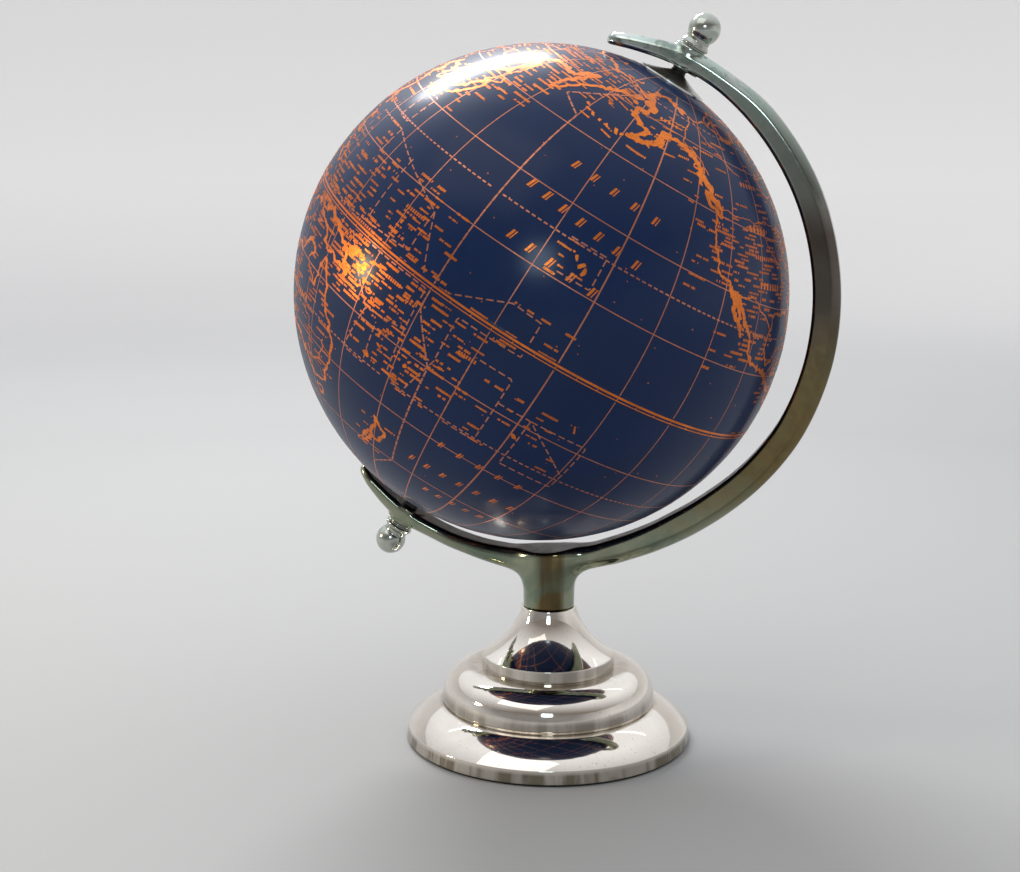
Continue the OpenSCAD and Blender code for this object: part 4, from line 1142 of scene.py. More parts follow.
ISLANDS = (  # closed shores: weight, points
    (1.1, [(-73, 78.2), (-68.5, 76.1), (-58.5, 75.6), (-54.5, 72), (-51, 69.5), (-53.5, 67), (-51.5, 64),
     (-46.5, 60.8), (-43, 60.1), (-41.5, 63), (-37, 65.8), (-25, 69), (-22, 71.5), (-19, 75), (-18.5, 78),
     (-13, 81.3), (-32, 83.5), (-47, 82.2), (-62, 81.8), (-67, 80.2)]),
    (1.0, [(-64.5, 63.5), (-72, 63.8), (-78, 64.5), (-73.5, 66), (-73, 68.3), (-79, 69.8), (-88, 71.3),
     (-85, 73.7), (-78, 72.8), (-68, 70.3), (-62, 67), (-65, 65.3)]),
    (1.0, [(-105, 69), (-115, 69.4), (-118, 71.7), (-110, 73), (-105, 72.5), (-101.5, 69.5)]),
    (1.0, [(-76, 78.5), (-89, 76.6), (-87, 79.8), (-92, 81.2), (-78, 83), (-62, 82.4), (-71, 79.8)]),
    (1.0, [(-120.5, 71.5), (-125.5, 72), (-123.5, 74.2), (-117.5, 73.3)]),
    (1.0, [(-80, 75.6), (-92, 76.2), (-92, 74.8), (-80, 74.6)]),
    (1.0, [(-105, 76), (-117, 75.2), (-115, 76.5), (-108, 76.8)]),
    (0.9, [(-59.3, 47.7), (-55.5, 46.9), (-53, 47.5), (-55.5, 49.8), (-55.6, 51.5), (-57.5, 50.2)]),
    (0.8, [(-84.8, 21.9), (-82, 23.1), (-77, 21.5), (-74.3, 20.2), (-77.5, 19.9), (-78.5, 21.2)]),
    (0.8, [(-74.3, 18.5), (-72, 19.8), (-68.5, 18.6), (-71, 17.8)]),
    (1.3, [(-123.4, 48.4), (-125.8, 48.9), (-128.3, 50.7), (-125.2, 50)]),
    (1.3, [(-131, 52), (-133, 54), (-131.7, 54)]),
    (1.5, [(-154.5, 56.8), (-152.3, 57.5), (-153.8, 57.9)]),
    (0.8, [(49.3, -12), (50.4, -15.7), (47.2, -25), (43.9, -23.5), (44.4, -19.9), (46.5, -15.7)]),
    (0.8, [(-5.5, 50.2), (1.3, 51.3), (0.3, 53), (-1.6, 55.4), (-3.2, 58.6), (-5.8, 57.5), (-4.8, 55),
     (-3, 54), (-4.5, 53.3), (-5.2, 51.8), (-3, 51.4)]),
    (0.8, [(-6.2, 52.2), (-6, 54.6), (-8.2, 55.2), (-10, 53.6), (-9.8, 51.6)]),
    (0.9, [(-22.5, 63.9), (-18.8, 63.4), (-13.7, 65), (-16, 66.5), (-22.5, 66.3), (-22, 64.6)]),
    (1.2, [(130.9, 34), (135, 34.6), (135.8, 33.5), (138.8, 34.7), (140.8, 35.8), (142, 39.5),
     (141.3, 41.4), (140, 40), (138.6, 37.3), (136, 36), (132.7, 35.5)]),
    (1.2, [(130, 33.5), (131.7, 33.2), (131.1, 31.4), (130.2, 31.3)]),
    (1.2, [(140.1, 41.6), (143.2, 42), (145.3, 43.3), (142, 45.5), (141.4, 43.3)]),
    (1.1, [(142, 46), (143.5, 49), (143, 54), (142.2, 52), (142.1, 48)]),
    (0.9, [(120.2, 23), (121, 25.2), (121.5, 23.5), (120.9, 22)]),
    (1.1, [(120.3, 16), (120.6, 18.5), (122.2, 18.4), (121.6, 16), (124, 13), (121, 13.7)]),
    (1.1, [(122, 7), (123.5, 8.6), (125.5, 9.8), (126.5, 7.3), (125.5, 5.7)]),
    (1.1, [(109.1, 1.5), (111.4, 2.5), (113, 3.2), (116, 6.5), (117, 7), (119, 5.2), (117.7, 3.5),
     (118.9, 1), (116.5, -1.5), (116, -3.8), (114.5, -4), (111.7, -3.3), (110, -1.5)]),
    (1.0, [(95.3, 5.6), (98.3, 4.3), (103.5, 0), (106, -3), (105.8, -5.8), (104.5, -5.8), (101, -2.6),
     (98.7, 1.6)]),
    (0.9, [(105.2, -6.8), (106.8, -6), (110.8, -6.4), (114.4, -7.7), (114.4, -8.7), (109, -7.7)]),
    (1.0, [(119.5, -5.5), (118.8, -2.8), (119.8, 0.6), (121, 1.3), (125.1, 1.6), (123.5, 0.4),
     (120.3, 0.3), (121.3, -1), (123.4, -0.7), (121.6, -1.9), (122.8, -4), (121.5, -4.6), (120.9, -2.8),
     (120.4, -5.6)]),
    (1.5, [(131, -0.8), (134, -0.9), (134.3, -3), (137.8, -1.5), (141, -2.6), (144.5, -3.9), (147.6, -6),
     (150.8, -10.4), (147.2, -9.5), (143.5, -8.6), (142.6, -9.3), (138.5, -8.3), (138.8, -6.7),
     (135, -4.4), (132.8, -4), (132.6, -2.7)]),
    (1.3, [(148.4, -5.6), (152.2, -4.3), (151, -6)]),
    (1.1, [(172.7, -34.5), (175.5, -36.6), (178.4, -37.7), (177, -39.5), (175.3, -41.6), (173.8, -39.3),
     (174.6, -37)]),
    (1.1, [(172.7, -40.6), (174.2, -41.7), (172.7, -43.7), (170.7, -45.9), (168.4, -46.6), (166.5, -45.9),
     (170.5, -43)]),
    (0.9, [(144.7, -40.8), (148.3, -40.9), (147.9, -43.2), (146, -43.5)]),
    (0.8, [(79.9, 7), (80.2, 9.7), (81.8, 7.5), (80.6, 6)]),
    (0.8, [(47.5, 45), (51, 46.8), (53, 45), (51, 44.3), (53, 41.5), (54, 37.2), (50.3, 37.3),
     (49.4, 40.3), (47.7, 43)]),
    (0.7, [(-92, 46.8), (-88, 48.7), (-84.6, 46.6), (-88, 47)]),
    (0.7, [(-87.8, 42), (-86.3, 42.5), (-85, 45.8), (-87.6, 44.8)]),
)
SMALL_ISLANDS = (  # longitude, latitude, size in degrees
    (-155.5, 19.6, 1.3), (-156.4, 20.8, 0.8), (-158, 21.5, 0.7), (-159.5, 22.05, 0.6),
    (-166.5, 53.7, 0.9), (-169, 52.9, 0.7), (-174, 52.2, 0.7), (-177.5, 51.8, 0.6), (179, 51.6, 0.6),
    (173, 52.8, 0.7), (-171, 63.4, 1.0), (-166, 60, 0.9), (155, -6.2, 1.3), (157.5, -8, 1.1),
    (159.9, -9.4, 1.3), (161.3, -10.3, 0.9), (151.8, -3.2, 1.0), (153, -4.2, 0.9), (147, -2.1, 0.8),
    (164.9, -21, 0.9), (166, -21.8, 0.9), (166.9, -15.4, 0.9), (168.3, -17.7, 0.7), (178, -17.8, 1.2),
    (179.3, -16.6, 0.8), (-172.3, -13.6, 0.7), (-171.4, -14, 0.6), (-149.5, -17.7, 0.6),
    (-139, -9.8, 0.5), (144.8, 13.5, 0.5), (158.2, 6.9, 0.5), (134.5, 7.4, 0.5), (122.5, 10.7, 1.1),
    (124.2, 11.2, 0.9), (123.8, 10, 0.8), (118.3, 9.4, 0.9), (127.8, 0.8, 1.1), (129.5, -3.1, 1.1),
    (126.6, -3.4, 0.8), (134.4, -6.2, 0.8), (124.5, -9.2, 1.3), (120, -9.8, 0.9), (121, -8.6, 1.1),
    (118, -8.6, 0.9), (116.3, -8.6, 0.8), (115.2, -8.4, 0.7), (109.8, 19.2, 1.0), (92.8, 12.3, 0.5),
    (-61.3, 10.5, 0.7), (-66.4, 18.2, 0.7), (-77.3, 18.1, 0.7), (-78, 24.5, 0.8), (-91, -0.6, 0.8),
    (-59, -51.7, 1.2), (-36.8, -54.4, 0.7), (-43.3, -22, 0.1), (9, 42.1, 0.8), (9, 40, 0.9),
    (14.2, 37.5, 0.9), (24.9, 35.2, 0.8), (33.2, 35, 0.7), (2.9, 39.6, 0.6), (-16, 28.2, 0.7),
    (-25, 37.8, 0.5), (-24, 15, 0.5), (57.5, -20.2, 0.5), (55.5, -21.1, 0.5), (70, -49.4, 0.9),
    (18, 78.5, 1.6), (56, 73, 1.5), (60, 75.6, 1.4), (143, 75.3, 1.0), (148, 75.2, 0.9), (97, 79.3, 1.1),
    (-179.5, 71.2, 0.8), (18.5, 57.5, 0.6), (150.5, 45.8, 0.5), (148, 44.6, 0.6), (155.5, 50.2, 0.5),
    (-131.3, 55.7, 1.0), (-133.3, 56.9, 1.1), (-134.6, 58, 1.0),
)
BORDERS = (
    [(-123, 49), (-95, 49), (-89.5, 48), (-83, 46), (-79, 43.5), (-75, 45), (-71, 45.3), (-67, 47.3)],
    [(-117, 32.5), (-111, 31.3), (-106.5, 31.8), (-103, 29), (-99.5, 27.5), (-97.2, 25.9)], [(-141, 69.6),
    (-141, 60.3), (-135, 59.5), (-130.2, 56)], [(-92, 14.5), (-90.5, 16.2), (-89, 18)], [(-79, 1.5),
    (-75, 0), (-70, -4.2), (-73, -9.5), (-69.5, -11), (-69.5, -17.5), (-68, -22.5)], [(-68, -22.5),
    (-69, -30), (-71.5, -38), (-72, -46), (-72, -52)], [(-69.5, -11), (-60, -14), (-58, -20)],
    [(-58, -20), (-54.5, -25.5), (-57.5, -30.2), (-53.5, -33.7)], [(-70, -4.2), (-67, 1.2), (-60, 4.5)],
    [(-60, 4.5), (-52, 4)], [(-72, 12), (-72.5, 7), (-67.5, 6.2), (-67, 1.2)], [(28, 70), (30, 62),
    (28, 60)], [(12, 64), (12, 60.5), (18, 68.5), (24, 66)], [(24, 54.5), (31, 52.5)], [(14.5, 54),
    (15, 51), (19, 49.5), (24, 51), (24, 54.5)], [(6, 53), (6.2, 49.5), (8, 47.5), (7, 44)],
    [(-1.8, 43.4), (3.2, 42.4)], [(10, 47.3), (16.5, 47.8), (22.5, 48.2), (28, 45.5)], [(47, 41.5),
    (44.5, 39.8), (48, 38.5)], [(36.2, 36.7), (42, 37.2), (44.8, 37.2), (46, 33), (48, 30)], [(61, 25.2),
    (61, 31), (61, 36.5), (66.5, 37.5), (71, 36.8), (74.5, 37)], [(68, 24), (72, 29), (74.5, 34)],
    [(74.5, 37), (79, 32), (88, 28), (97, 28.3), (98.5, 24), (101.5, 21.2), (106, 22.8), (108, 21.5)],
    [(74.5, 37), (80, 42), (82, 45.3), (87.5, 49)], [(50, 46.5), (61, 51), (77, 53.8), (87.5, 49)],
    [(87.5, 49), (98, 50), (107, 49.5), (116.5, 49.8), (124, 53.3), (131, 47.8), (134.5, 48), (131, 43)],
    [(87.5, 49), (96, 42.7), (105, 41.7), (112, 43.7), (119.5, 46.7), (116.5, 49.8)], [(98, 10.5),
    (99, 15), (97.5, 18.3), (101.5, 21.2)], [(102.5, 12), (103, 14.5), (107, 15.5), (104, 19.5)],
    [(141, -2.6), (141, -9.1)], [(129, -15), (129, -31.6)], [(138, -16.5), (138, -26), (141, -26),
    (141, -38)], [(141, -29), (153.5, -28.2)], [(141, -34), (147, -36), (150, -37.4)], [(-8.5, 30),
    (-8.5, 27.3), (3, 19.5), (12, 23.5), (15, 23)], [(9, 37), (9.5, 30), (12, 23.5)], [(25, 31.6),
    (25, 22), (37, 22)], [(15, 23), (24, 19.5), (24, 15.7), (22.5, 12)], [(3, 19.5), (3, 12),
    (13.5, 13.5)], [(22.5, 12), (27.5, 5), (34, 4.2), (42, 4)], [(13.5, 13.5), (15.5, 8), (18.5, 4),
    (27.5, 5)], [(31, -1), (29.5, -4.5), (30.5, -8.3), (34, -9.5), (40.5, -10.5)], [(12.5, -6),
    (22, -7.3), (24, -11), (28.5, -9)], [(12, -17.3), (21, -18), (25.3, -17.8), (31, -16)], [(20, -28.4),
    (20, -22), (25.5, -25.7), (29.5, -22.2)],
)
RIVERS = (
    [(-50, 0), (-55, -2.3), (-60, -3.2), (-66, -2.5), (-73, -4)], [(-89.5, 29.2), (-91, 33), (-90, 39),
    (-94, 46)], [(-90, 39), (-97, 42.5), (-104, 47.5), (-111, 47)], [(31.2, 31.3), (31, 26), (33, 19.5),
    (32, 14), (31.5, 5)], [(12.5, -6), (17, -1), (23, 2), (25.5, -5), (26.5, -11)], [(127, 72.5),
    (124, 66.5), (129, 62), (115, 59), (107, 54)], [(83, 71.5), (88, 66), (92, 58), (93, 52)],
    [(70, 66.5), (66, 62), (76, 59), (84, 53)], [(121.5, 31.6), (115, 30), (108, 30), (100, 27),
    (95, 33)], [(119, 37.6), (110, 35), (110, 40), (103, 36)], [(106.5, 10.3), (105, 15), (101, 20.5),
    (95, 31)], [(89, 23), (85, 25.5), (78, 29)], [(67.5, 24), (71, 30), (74, 33)], [(140.5, 53),
    (135, 48.5), (127, 50), (121, 53)], [(-135, 69), (-128, 65), (-118, 61.5), (-111, 59)], [(-164, 62.5),
    (-158, 63), (-150, 65.3), (-141, 64.8)], [(6, 4.5), (6, 8), (1, 14), (-4, 15), (-9, 11)], [(29.5, 45),
    (22.5, 44), (19, 47), (10, 48.5)], [(47.8, 46), (45, 49), (49, 54), (44, 56)], [(139, -35.4),
    (142, -34.2), (147, -33), (149, -27)], [(-58.4, -34), (-58.5, -27), (-52, -20)],
)
SEA_LINES = (  # dashed lines between groups of islands
    [(131, 5), (131, 21), (146, 21), (164, 15), (171, 12.5), (171, 3), (150, 1.5), (137, 1.5), (131, 5)],
    [(146, 21), (146, 15)], [(157, 18), (157, 1.5)], [(171, 12.5), (178, -1)], [(155, -1.5),
    (168, -12.5)], [(160, -1), (179, -1), (179, -11), (168, -12.5), (165, -24), (172, -24), (172, -13)],
    [(179, -11), (179, -22), (-176, -24), (-172, -13), (-172, -2), (-157, -2), (-157, 6), (-164, 6.5),
    (-176, 1)], [(-165, -7), (-165, -24), (-156, -24), (-156, -7), (-165, -7)], [(-156, -13), (-148, -13),
    (-134, -22)], [(-176, 1), (179, -1)], [(-148, -13), (-148, -26), (-134, -26), (-134, -13),
    (-148, -13)], [(140, 23), (140, 31), (145, 31), (145, 23), (140, 23)], [(-160, 16.5), (-152, 16.5),
    (-152, 24), (-162, 24)],
)
NAME_GROUPS = (  # longitude, latitude, reach east, reach north, rows, chance that a row is filled
    (150, 9, 16, 8, 12, 0.75), (168, 8, 10, 7, 8, 0.6), (153, 61, 18, 7, 11, 0.8),
    (147, 46, 8, 7, 8, 0.8), (134, 14, 9, 7, 6, 0.5), (172, -5, 11, 7, 10, 0.8), (160, -9, 11, 5, 9, 0.9),
    (-172, -9, 9, 10, 13, 0.85), (178, -18, 10, 6, 8, 0.8), (167, -17, 7, 5, 6, 0.7),
    (-150, -17, 12, 7, 8, 0.6), (-157, 3, 7, 4, 4, 0.6), (-157, 20, 6, 4, 4, 0.7),
    (-165, 54, 12, 4, 4, 0.5), (144, -5, 13, 8, 15, 0.95), (153, -7, 6, 6, 12, 0.9),
    (138, 3, 9, 6, 9, 0.85), (124, -3, 14, 7, 14, 0.9), (105, 2, 12, 9, 13, 0.8), (122, 12, 8, 7, 9, 0.8),
    (133, -25, 18, 10, 17, 0.7), (103, 17, 8, 6, 8, 0.8), (110, 30, 16, 11, 19, 0.85),
    (138, 37, 7, 6, 8, 0.8), (130, 51, 20, 9, 13, 0.6), (95, 62, 34, 8, 11, 0.55),
    (150, 66, 22, 6, 8, 0.5), (79, 22, 9, 10, 16, 0.85), (62, 36, 14, 9, 13, 0.7), (45, 25, 9, 8, 9, 0.6),
    (22, 49, 19, 10, 19, 0.85), (-4, 42, 6, 4, 6, 0.7), (5, 22, 18, 10, 11, 0.5),
    (20, 5, 16, 10, 15, 0.7), (26, -17, 11, 12, 15, 0.7), (47, -19, 3, 5, 5, 0.6),
    (-98, 40, 21, 8, 16, 0.9), (-100, 57, 25, 8, 11, 0.5), (-150, 64, 9, 5, 6, 0.7),
    (-103, 24, 7, 6, 10, 0.9), (-88, 14, 6, 5, 8, 0.8), (-75, 19, 9, 5, 7, 0.7),
    (-58, -8, 14, 12, 17, 0.7), (-66, -30, 6, 15, 18, 0.7), (-40, 70, 10, 7, 6, 0.4),
    (174, -41, 5, 5, 7, 0.8), (0, -76, 60, 5, 5, 0.3), (-113, 18, 5, 4, 4, 0.6), (-126, 36, 4, 7, 5, 0.5),
    (70, -5, 12, 9, 6, 0.35), (-25, 35, 9, 8, 5, 0.3), (-92, -1, 5, 2, 2, 0.6),
)
LAND_TITLES = (  # longitude, latitude, count and height in mm of the marks that stand for a land's title
    (-104, 47, 5, 2.6), (-100, 41, 12, 1.6), (-98, 35, 7, 2.6), (-105, 57, 6, 2.0), (-102, 24, 6, 1.5),
    (-60, -3, 5, 2.6), (-58, -11, 7, 2.6), (-52, -17, 6, 1.6), (-64, -36, 9, 1.4), (19, 12, 6, 3.0),
    (27, 26, 5, 1.5), (24, -4, 5, 1.7), (95, 62, 8, 2.4), (80, 55, 6, 1.6), (95, 47, 4, 3.0),
    (103, 33, 5, 2.2), (78, 22, 5, 1.8), (20, 51, 6, 2.0), (45, 24, 7, 1.5), (133, -23, 9, 2.4),
    (150, 1, 9, 1.5), (165, -4, 7, 1.4), (-168, -8, 7, 1.4), (130, -13, 7, 1.2), (116, 0, 6, 1.4),
    (124, 14, 8, 1.3), (160, 10, 9, 1.4), (-150, 64, 5, 1.8), (-42, 72, 8, 1.8), (0, -82, 9, 2.2),
    (140, 66, 7, 1.5),
)
SEA_TITLES = (  # rows of spaced bars that stand for a sea's title: start, end, count, height in mm
    ((-172, 38), (-143, 38), 5, 4.4), ((-179, 29), (-144, 27), 7, 4.6), ((-175, 18), (-151, 17), 5, 4.6),
    ((-163, -30), (-140, -30), 5, 3.6), ((-169, -39), (-136, -38), 7, 3.8),
    ((-160, -48), (-139, -47.5), 5, 3.6), ((-45, 30), (-25, 33), 5, 4.0), ((-50, 22), (-22, 24), 8, 4.2),
    ((60, -18), (92, -16), 6, 4.2), ((66, -27), (88, -26), 5, 4.2), ((-30, -22), (0, -20), 8, 4.0),
    ((-20, 79), (40, 80), 6, 2.6),
)


EQUATOR_LIFT = 0.00011  # the lines on the band over the seam lie this far above the ball, in metres
ROUND_WORLD = (-180, -90, 0, 90)
DATE_LINE = (
    (180, 75), (180, 68), (-169, 65.5), (170, 52), (180, 48), (180, -5), (-172.5, -15), (-172.5, -45),
    (180, -51), (180, -75),
)
TROPICS_AND_CIRCLES = (-66.56, -23.44, 23.44, 66.56)
BOLD_MERIDIAN = -150
RING_STEP = 2.0 / 1.2   # degrees between the points of a parallel
SKIN = 0.25             # thickness of the printed skin
SKIN_HOLE_R = 4.0
BAND = (                # outline of the band over the seam: height above the ball, distance from the seam
    (-0.05, -1.9), (0.01, -1.8), (0.07, -1.3), (0.07, 1.3), (0.01, 1.8), (-0.05, 1.9),
)
DOTS = 260


def ring_at(latitude):
    """Corners of a parallel."""
    return [(longitude, latitude) for longitude in ROUND_WORLD]


class DESKGLOBE_OT_ball(PieceOperator, bpy.types.Operator):
    """Covers the ball with its two printed skins and the band over their seam"""

    bl_idname = "deskglobe.ball"
    bl_label = "Printed ball"

    def execute(self, context):
        lacquer = finished(finish_map, "map_print", context.scene.globe_colours)
        ball = GLOBE_R / MM
        arcs = []
        for radius, steps, way in ((ball, 111, 1), (ball - SKIN, 41, -1)):
            turn = np.radians(np.linspace(0, math.degrees(math.acos(SKIN_HOLE_R / radius)), steps)[::way])
            arcs.append(radius * np.stack([np.cos(turn), np.sin(turn)], axis=1))
        outline = np.concatenate(arcs)
        for side, place in (("north", at_north), ("south", at_south)):
            skin = turned(f"skin_{side}", outline, place, 256)
            settle(skin, lacquer, "globe", "map_print", f"{side}_map")
        band = np.array(BAND) + (ball, 0)
        band[:, 0] = np.sqrt(band[:, 0] ** 2 - band[:, 1] ** 2)
        band = turned("equator_band", band, at_north, 256)
        settle(band, lacquer, "globe", "map_print", "equator_tape")
        return {"FINISHED"}


class DESKGLOBE_OT_grid(PieceOperator, bpy.types.Operator):
    """Lays the grid of meridians and parallels, the dashed circles and the date line"""

    bl_idname = "deskglobe.grid"
    bl_label = "Grid lines"

    def execute(self, context):
        sizes, colours = context.scene.globe_sizes, context.scene.globe_colours
        fine = finished(finish_foil, "copper_fine", colours.fine_foil, 0.36)
        width, lift = sizes.line_width, sizes.foil_lift
        strips = []
        for longitude in range(-180, 180, 15):
            reach = 85 if longitude % 45 == 0 else 75
            bold = 1.5 if longitude == BOLD_MERIDIAN else 1.0
            strips.append(plain_line([(longitude, -reach), (longitude, reach)], width * bold, lift * 0.8))
        for latitude in [*range(-75, 0, 15), *range(15, 90, 15)]:
            strips.append(plain_line(ring_at(latitude), width, lift * 0.7, RING_STEP, closed=True))
        settle(foil_piece("grid_lines", strips), fine, "globe", "copper_foil")

        ticks = [[(longitude, -0.42), (longitude, -0.05)] for longitude in range(-180, 180, 5)]
        strips = [plain_line(tick, width, EQUATOR_LIFT) for tick in ticks]
        for latitude, weight in ((0.36, 2.1), (-0.42, 1.0)):
            ring = ring_at(latitude)
            strips.append(plain_line(ring, width * weight, EQUATOR_LIFT, RING_STEP, closed=True))
        settle(foil_piece("equator_lines", strips), copper(colours), "globe", "copper_foil")

        strips = []
        for latitude in TROPICS_AND_CIRCLES:
            track = [(longitude, latitude) for longitude in (-179, -60, 60, 178)]
            strips += dashes(track, width * 1.5, lift, 0.9, 0.55)
        strips += dashes(DATE_LINE, width * 1.7, lift, 1.6, 0.35)
        for track in SEA_LINES:
            strips += dashes(track, width * 1.35, lift * 0.9, 1.5, 0.7)
            strips += dashes(track, width * 1.2, lift * 0.9, 0.22, 1.98)
        settle(foil_piece("dashed_lines", strips), fine, "globe", "copper_foil")
        return {"FINISHED"}


class DESKGLOBE_OT_coasts(PieceOperator, bpy.types.Operator):
    """Stamps the coasts, islands, borders and rivers in foil"""

    bl_idname = "deskglobe.coasts"
    bl_label = "Coasts"

    def execute(self, context):
        sizes, colours = context.scene.globe_sizes, context.scene.globe_colours
        foil = copper(colours)
        width, lift = sizes.coast_width, sizes.foil_lift
        shores = {
            "coast_america_north": (
                (ALASKA, 2.6), (PACIFIC_STATES, 1.2), (MEXICO_WEST, 1.3), (ATLANTIC_NORTH, 1.0),
            ),
            "coast_america_south": ((SOUTH_AMERICA, 0.9),),
            "coast_asia": ((NORTH_ASIA, 1.1), (PACIFIC_ASIA, 2.0), (INDIAN_ASIA, 1.0)),
            "coast_europe": ((EUROPE, 0.8),),
            "coast_africa": ((AFRICA, 0.9),),
        }
        rng = np.random.default_rng(8)
        for name, tracks in shores.items():
            strips = [ragged(rng, track, width * weight, lift, False) for track, weight in tracks]
            settle(foil_piece(name, strips), foil, "globe", "copper_foil")
        strips = [ragged(rng, track, width * weight, lift * 1.1, True)
                  for weight, track in (*ISLANDS, (1.3, AUSTRALIA), (1.0, ANTARCTICA))]
        ring = np.linspace(0, 2 * math.pi, 9, endpoint=False)
        for longitude, latitude, size in SMALL_ISLANDS:
            track = np.stack([
                longitude + 0.5 * size * np.cos(ring) / math.cos(math.radians(latitude)),
                latitude + 0.32 * size * np.sin(ring),
            ], axis=1)
            strips.append(ragged(rng, track, width * 0.8, lift * 1.2, True))
        settle(foil_piece("coast_islands", strips), foil, "globe", "copper_foil")
        strips = [ragged(rng, track, width * 0.38, lift * 0.8, False) for track in BORDERS]
        strips += [ragged(rng, track, width * 0.42, lift * 0.6, False) for track in RIVERS]
        settle(foil_piece("borders_rivers", strips), foil, "globe", "copper_foil")
        return {"FINISHED"}


class DESKGLOBE_OT_marks(PieceOperator, bpy.types.Operator):
    """Fills the map with rows of plain bars where names would stand, and marks places with dots"""

    bl_idname = "deskglobe.marks"
    bl_label = "Place marks"

    def execute(self, context):
        sizes, colours = context.scene.globe_sizes, context.scene.globe_colours
        foil = copper(colours)
        rng = np.random.default_rng(21)
        tall = sizes.label_height
        degree = GLOBE_R * math.pi / 180
        rows = []
        for longitude, latitude, reach_east, reach_north, count, chance in NAME_GROUPS:
            for level in np.linspace(-1, 1, int(1.25 * count)):
                north = latitude + level * reach_north
                squeeze = math.cos(math.radians(north))
                at = longitude - (0.6 + 0.6 * rng.random()) * reach_east / squeeze
                while at < longitude + 0.8 * reach_east / squeeze:
                    bars = int(rng.integers(4, 13))
                    size = tall * rng.choice([0.85, 1.0, 1.25])
                    pitch = 0.66 * size / degree / squeeze
                    if rng.random() < chance:
                        places = (at + np.arange(bars) * pitch)[rng.random(bars) > 0.10]
                        left = len(places)
                        rows.append(np.stack([
                            places, np.full(left, north), np.full(left, 0.47 * size),
                            size * rng.uniform(0.70, 1.0, left), np.full(left, 0.12),
                        ], axis=1))
                    at += bars * pitch + rng.uniform(1.5, 7.0) / squeeze
        for longitude, latitude, count, height in LAND_TITLES:
            height = height * MM
            pitch = 0.95 * height / degree / math.cos(math.radians(latitude))
            rows.append(np.stack([
                longitude + (np.arange(count) - count / 2) * pitch, np.full(count, latitude),
                np.full(count, 0.52 * height), np.full(count, height), np.full(count, 0.0),
            ], axis=1))
        names = blocks(*np.concatenate(rows).T, sizes.foil_lift * 0.9)
        settle(foil_piece("name_rows", [names]), foil, "globe", "copper_foil")
        dot_longitude = rng.uniform(-180, 180, DOTS)
        dot_latitude = np.degrees(np.arcsin(rng.uniform(-0.75, 0.75, DOTS)))
        size = rng.uniform(0.25, 0.5, DOTS) * MM
        specks = blocks(dot_longitude, dot_latitude, size, size, np.zeros(DOTS), sizes.foil_lift * 0.8)
        settle(foil_piece("place_dots", [specks]), foil, "globe", "copper_foil")

        titles = []
        for start, end, count, height in SEA_TITLES:
            run = (end[0] - start[0] + 180) % 360 - 180
            t = np.linspace(0, 1, count)
            places = np.stack([start[0] + run * t, start[1] + (end[1] - start[1]) * t], axis=1)
            squeeze = np.cos(np.radians(places[:, 1]))
            height = height * MM
            for shift, thick in ((-0.16, 0.22), (0.16, 0.11)):
                titles.append(np.stack([
                    places[:, 0] + shift * height / degree / squeeze, places[:, 1],
                    np.full(count, thick * height), np.full(count, 0.78 * height), np.full(count, 0.30),
                ], axis=1))
        strips = blocks(*np.concatenate(titles).T, sizes.foil_lift)
        settle(foil_piece("sea_titles", [strips]), foil, "globe", "copper_foil")
        return {"FINISHED"}


# ---------------------------------------------------------------- Stage


LIGHTS = (  # name, target or the globe's centre, direction, distance, size, watts, colour
    ("window_back", None, (-0.36, 0.60, 0.72), 1.3, (0.66, 0.24), 14.0, (0.96, 0.98, 1.0)),
    ("lamp_left", None, (-0.93, -0.33, 0.15), 0.95, (0.10, 0.10), 1.9, (1.0, 0.80, 0.52)),
    ("soft_front", None, (0.19, -0.92, 0.34), 1.7, (0.32, 0.32), 3.0, (0.72, 0.90, 1.0)),
    ("wall_wash", (-0.6, 3.1, 0.3), (0.12, -0.68, 0.72), 2.3, (3.2, 0.4), 9.0, (1.0, 0.985, 0.98)),
    ("soft_top", None, (-0.25, -0.45, 0.86), 1.6, (1.3, 1.0), 3.0, (1.0, 0.97, 0.93)),
)
CAMERA_PLACE = (0.1379, -0.6479, 0.2496)
CAMERA_TURN = (13.482, 10.144, 0.28)  # left of the Y axis, down, and roll, in degrees
LENS, SENSOR = 56.47, 36.0
FLOOR_TOP = -0.02       # the floor lies this far under the felt, in mm
FLOOR_LEVELS = (        # distance from the stem in steps of 2.5 m, lightness of the paint
    (0.33, 0.0), (0.43, 0.083), (0.54, 0.222), (0.69, 0.485), (0.85, 0.77), (1.0, 1.0),
)


def area_light(name, target, direction, distance, size, power, tone):
    """A soft light that faces its target."""
    data = bpy.data.lights.new(name, "AREA")
    data.shape = "RECTANGLE"
    data.size, data.size_y = size
    data.energy = power
    data.color = tone
    light = bpy.data.objects.new(name, data)
    away = Vector(direction).normalized()
    light.location = Vector(target) + away * distance
    light.rotation_euler = away.to_track_quat("Z", "Y").to_euler()
    bpy.context.scene.collection.objects.link(light)


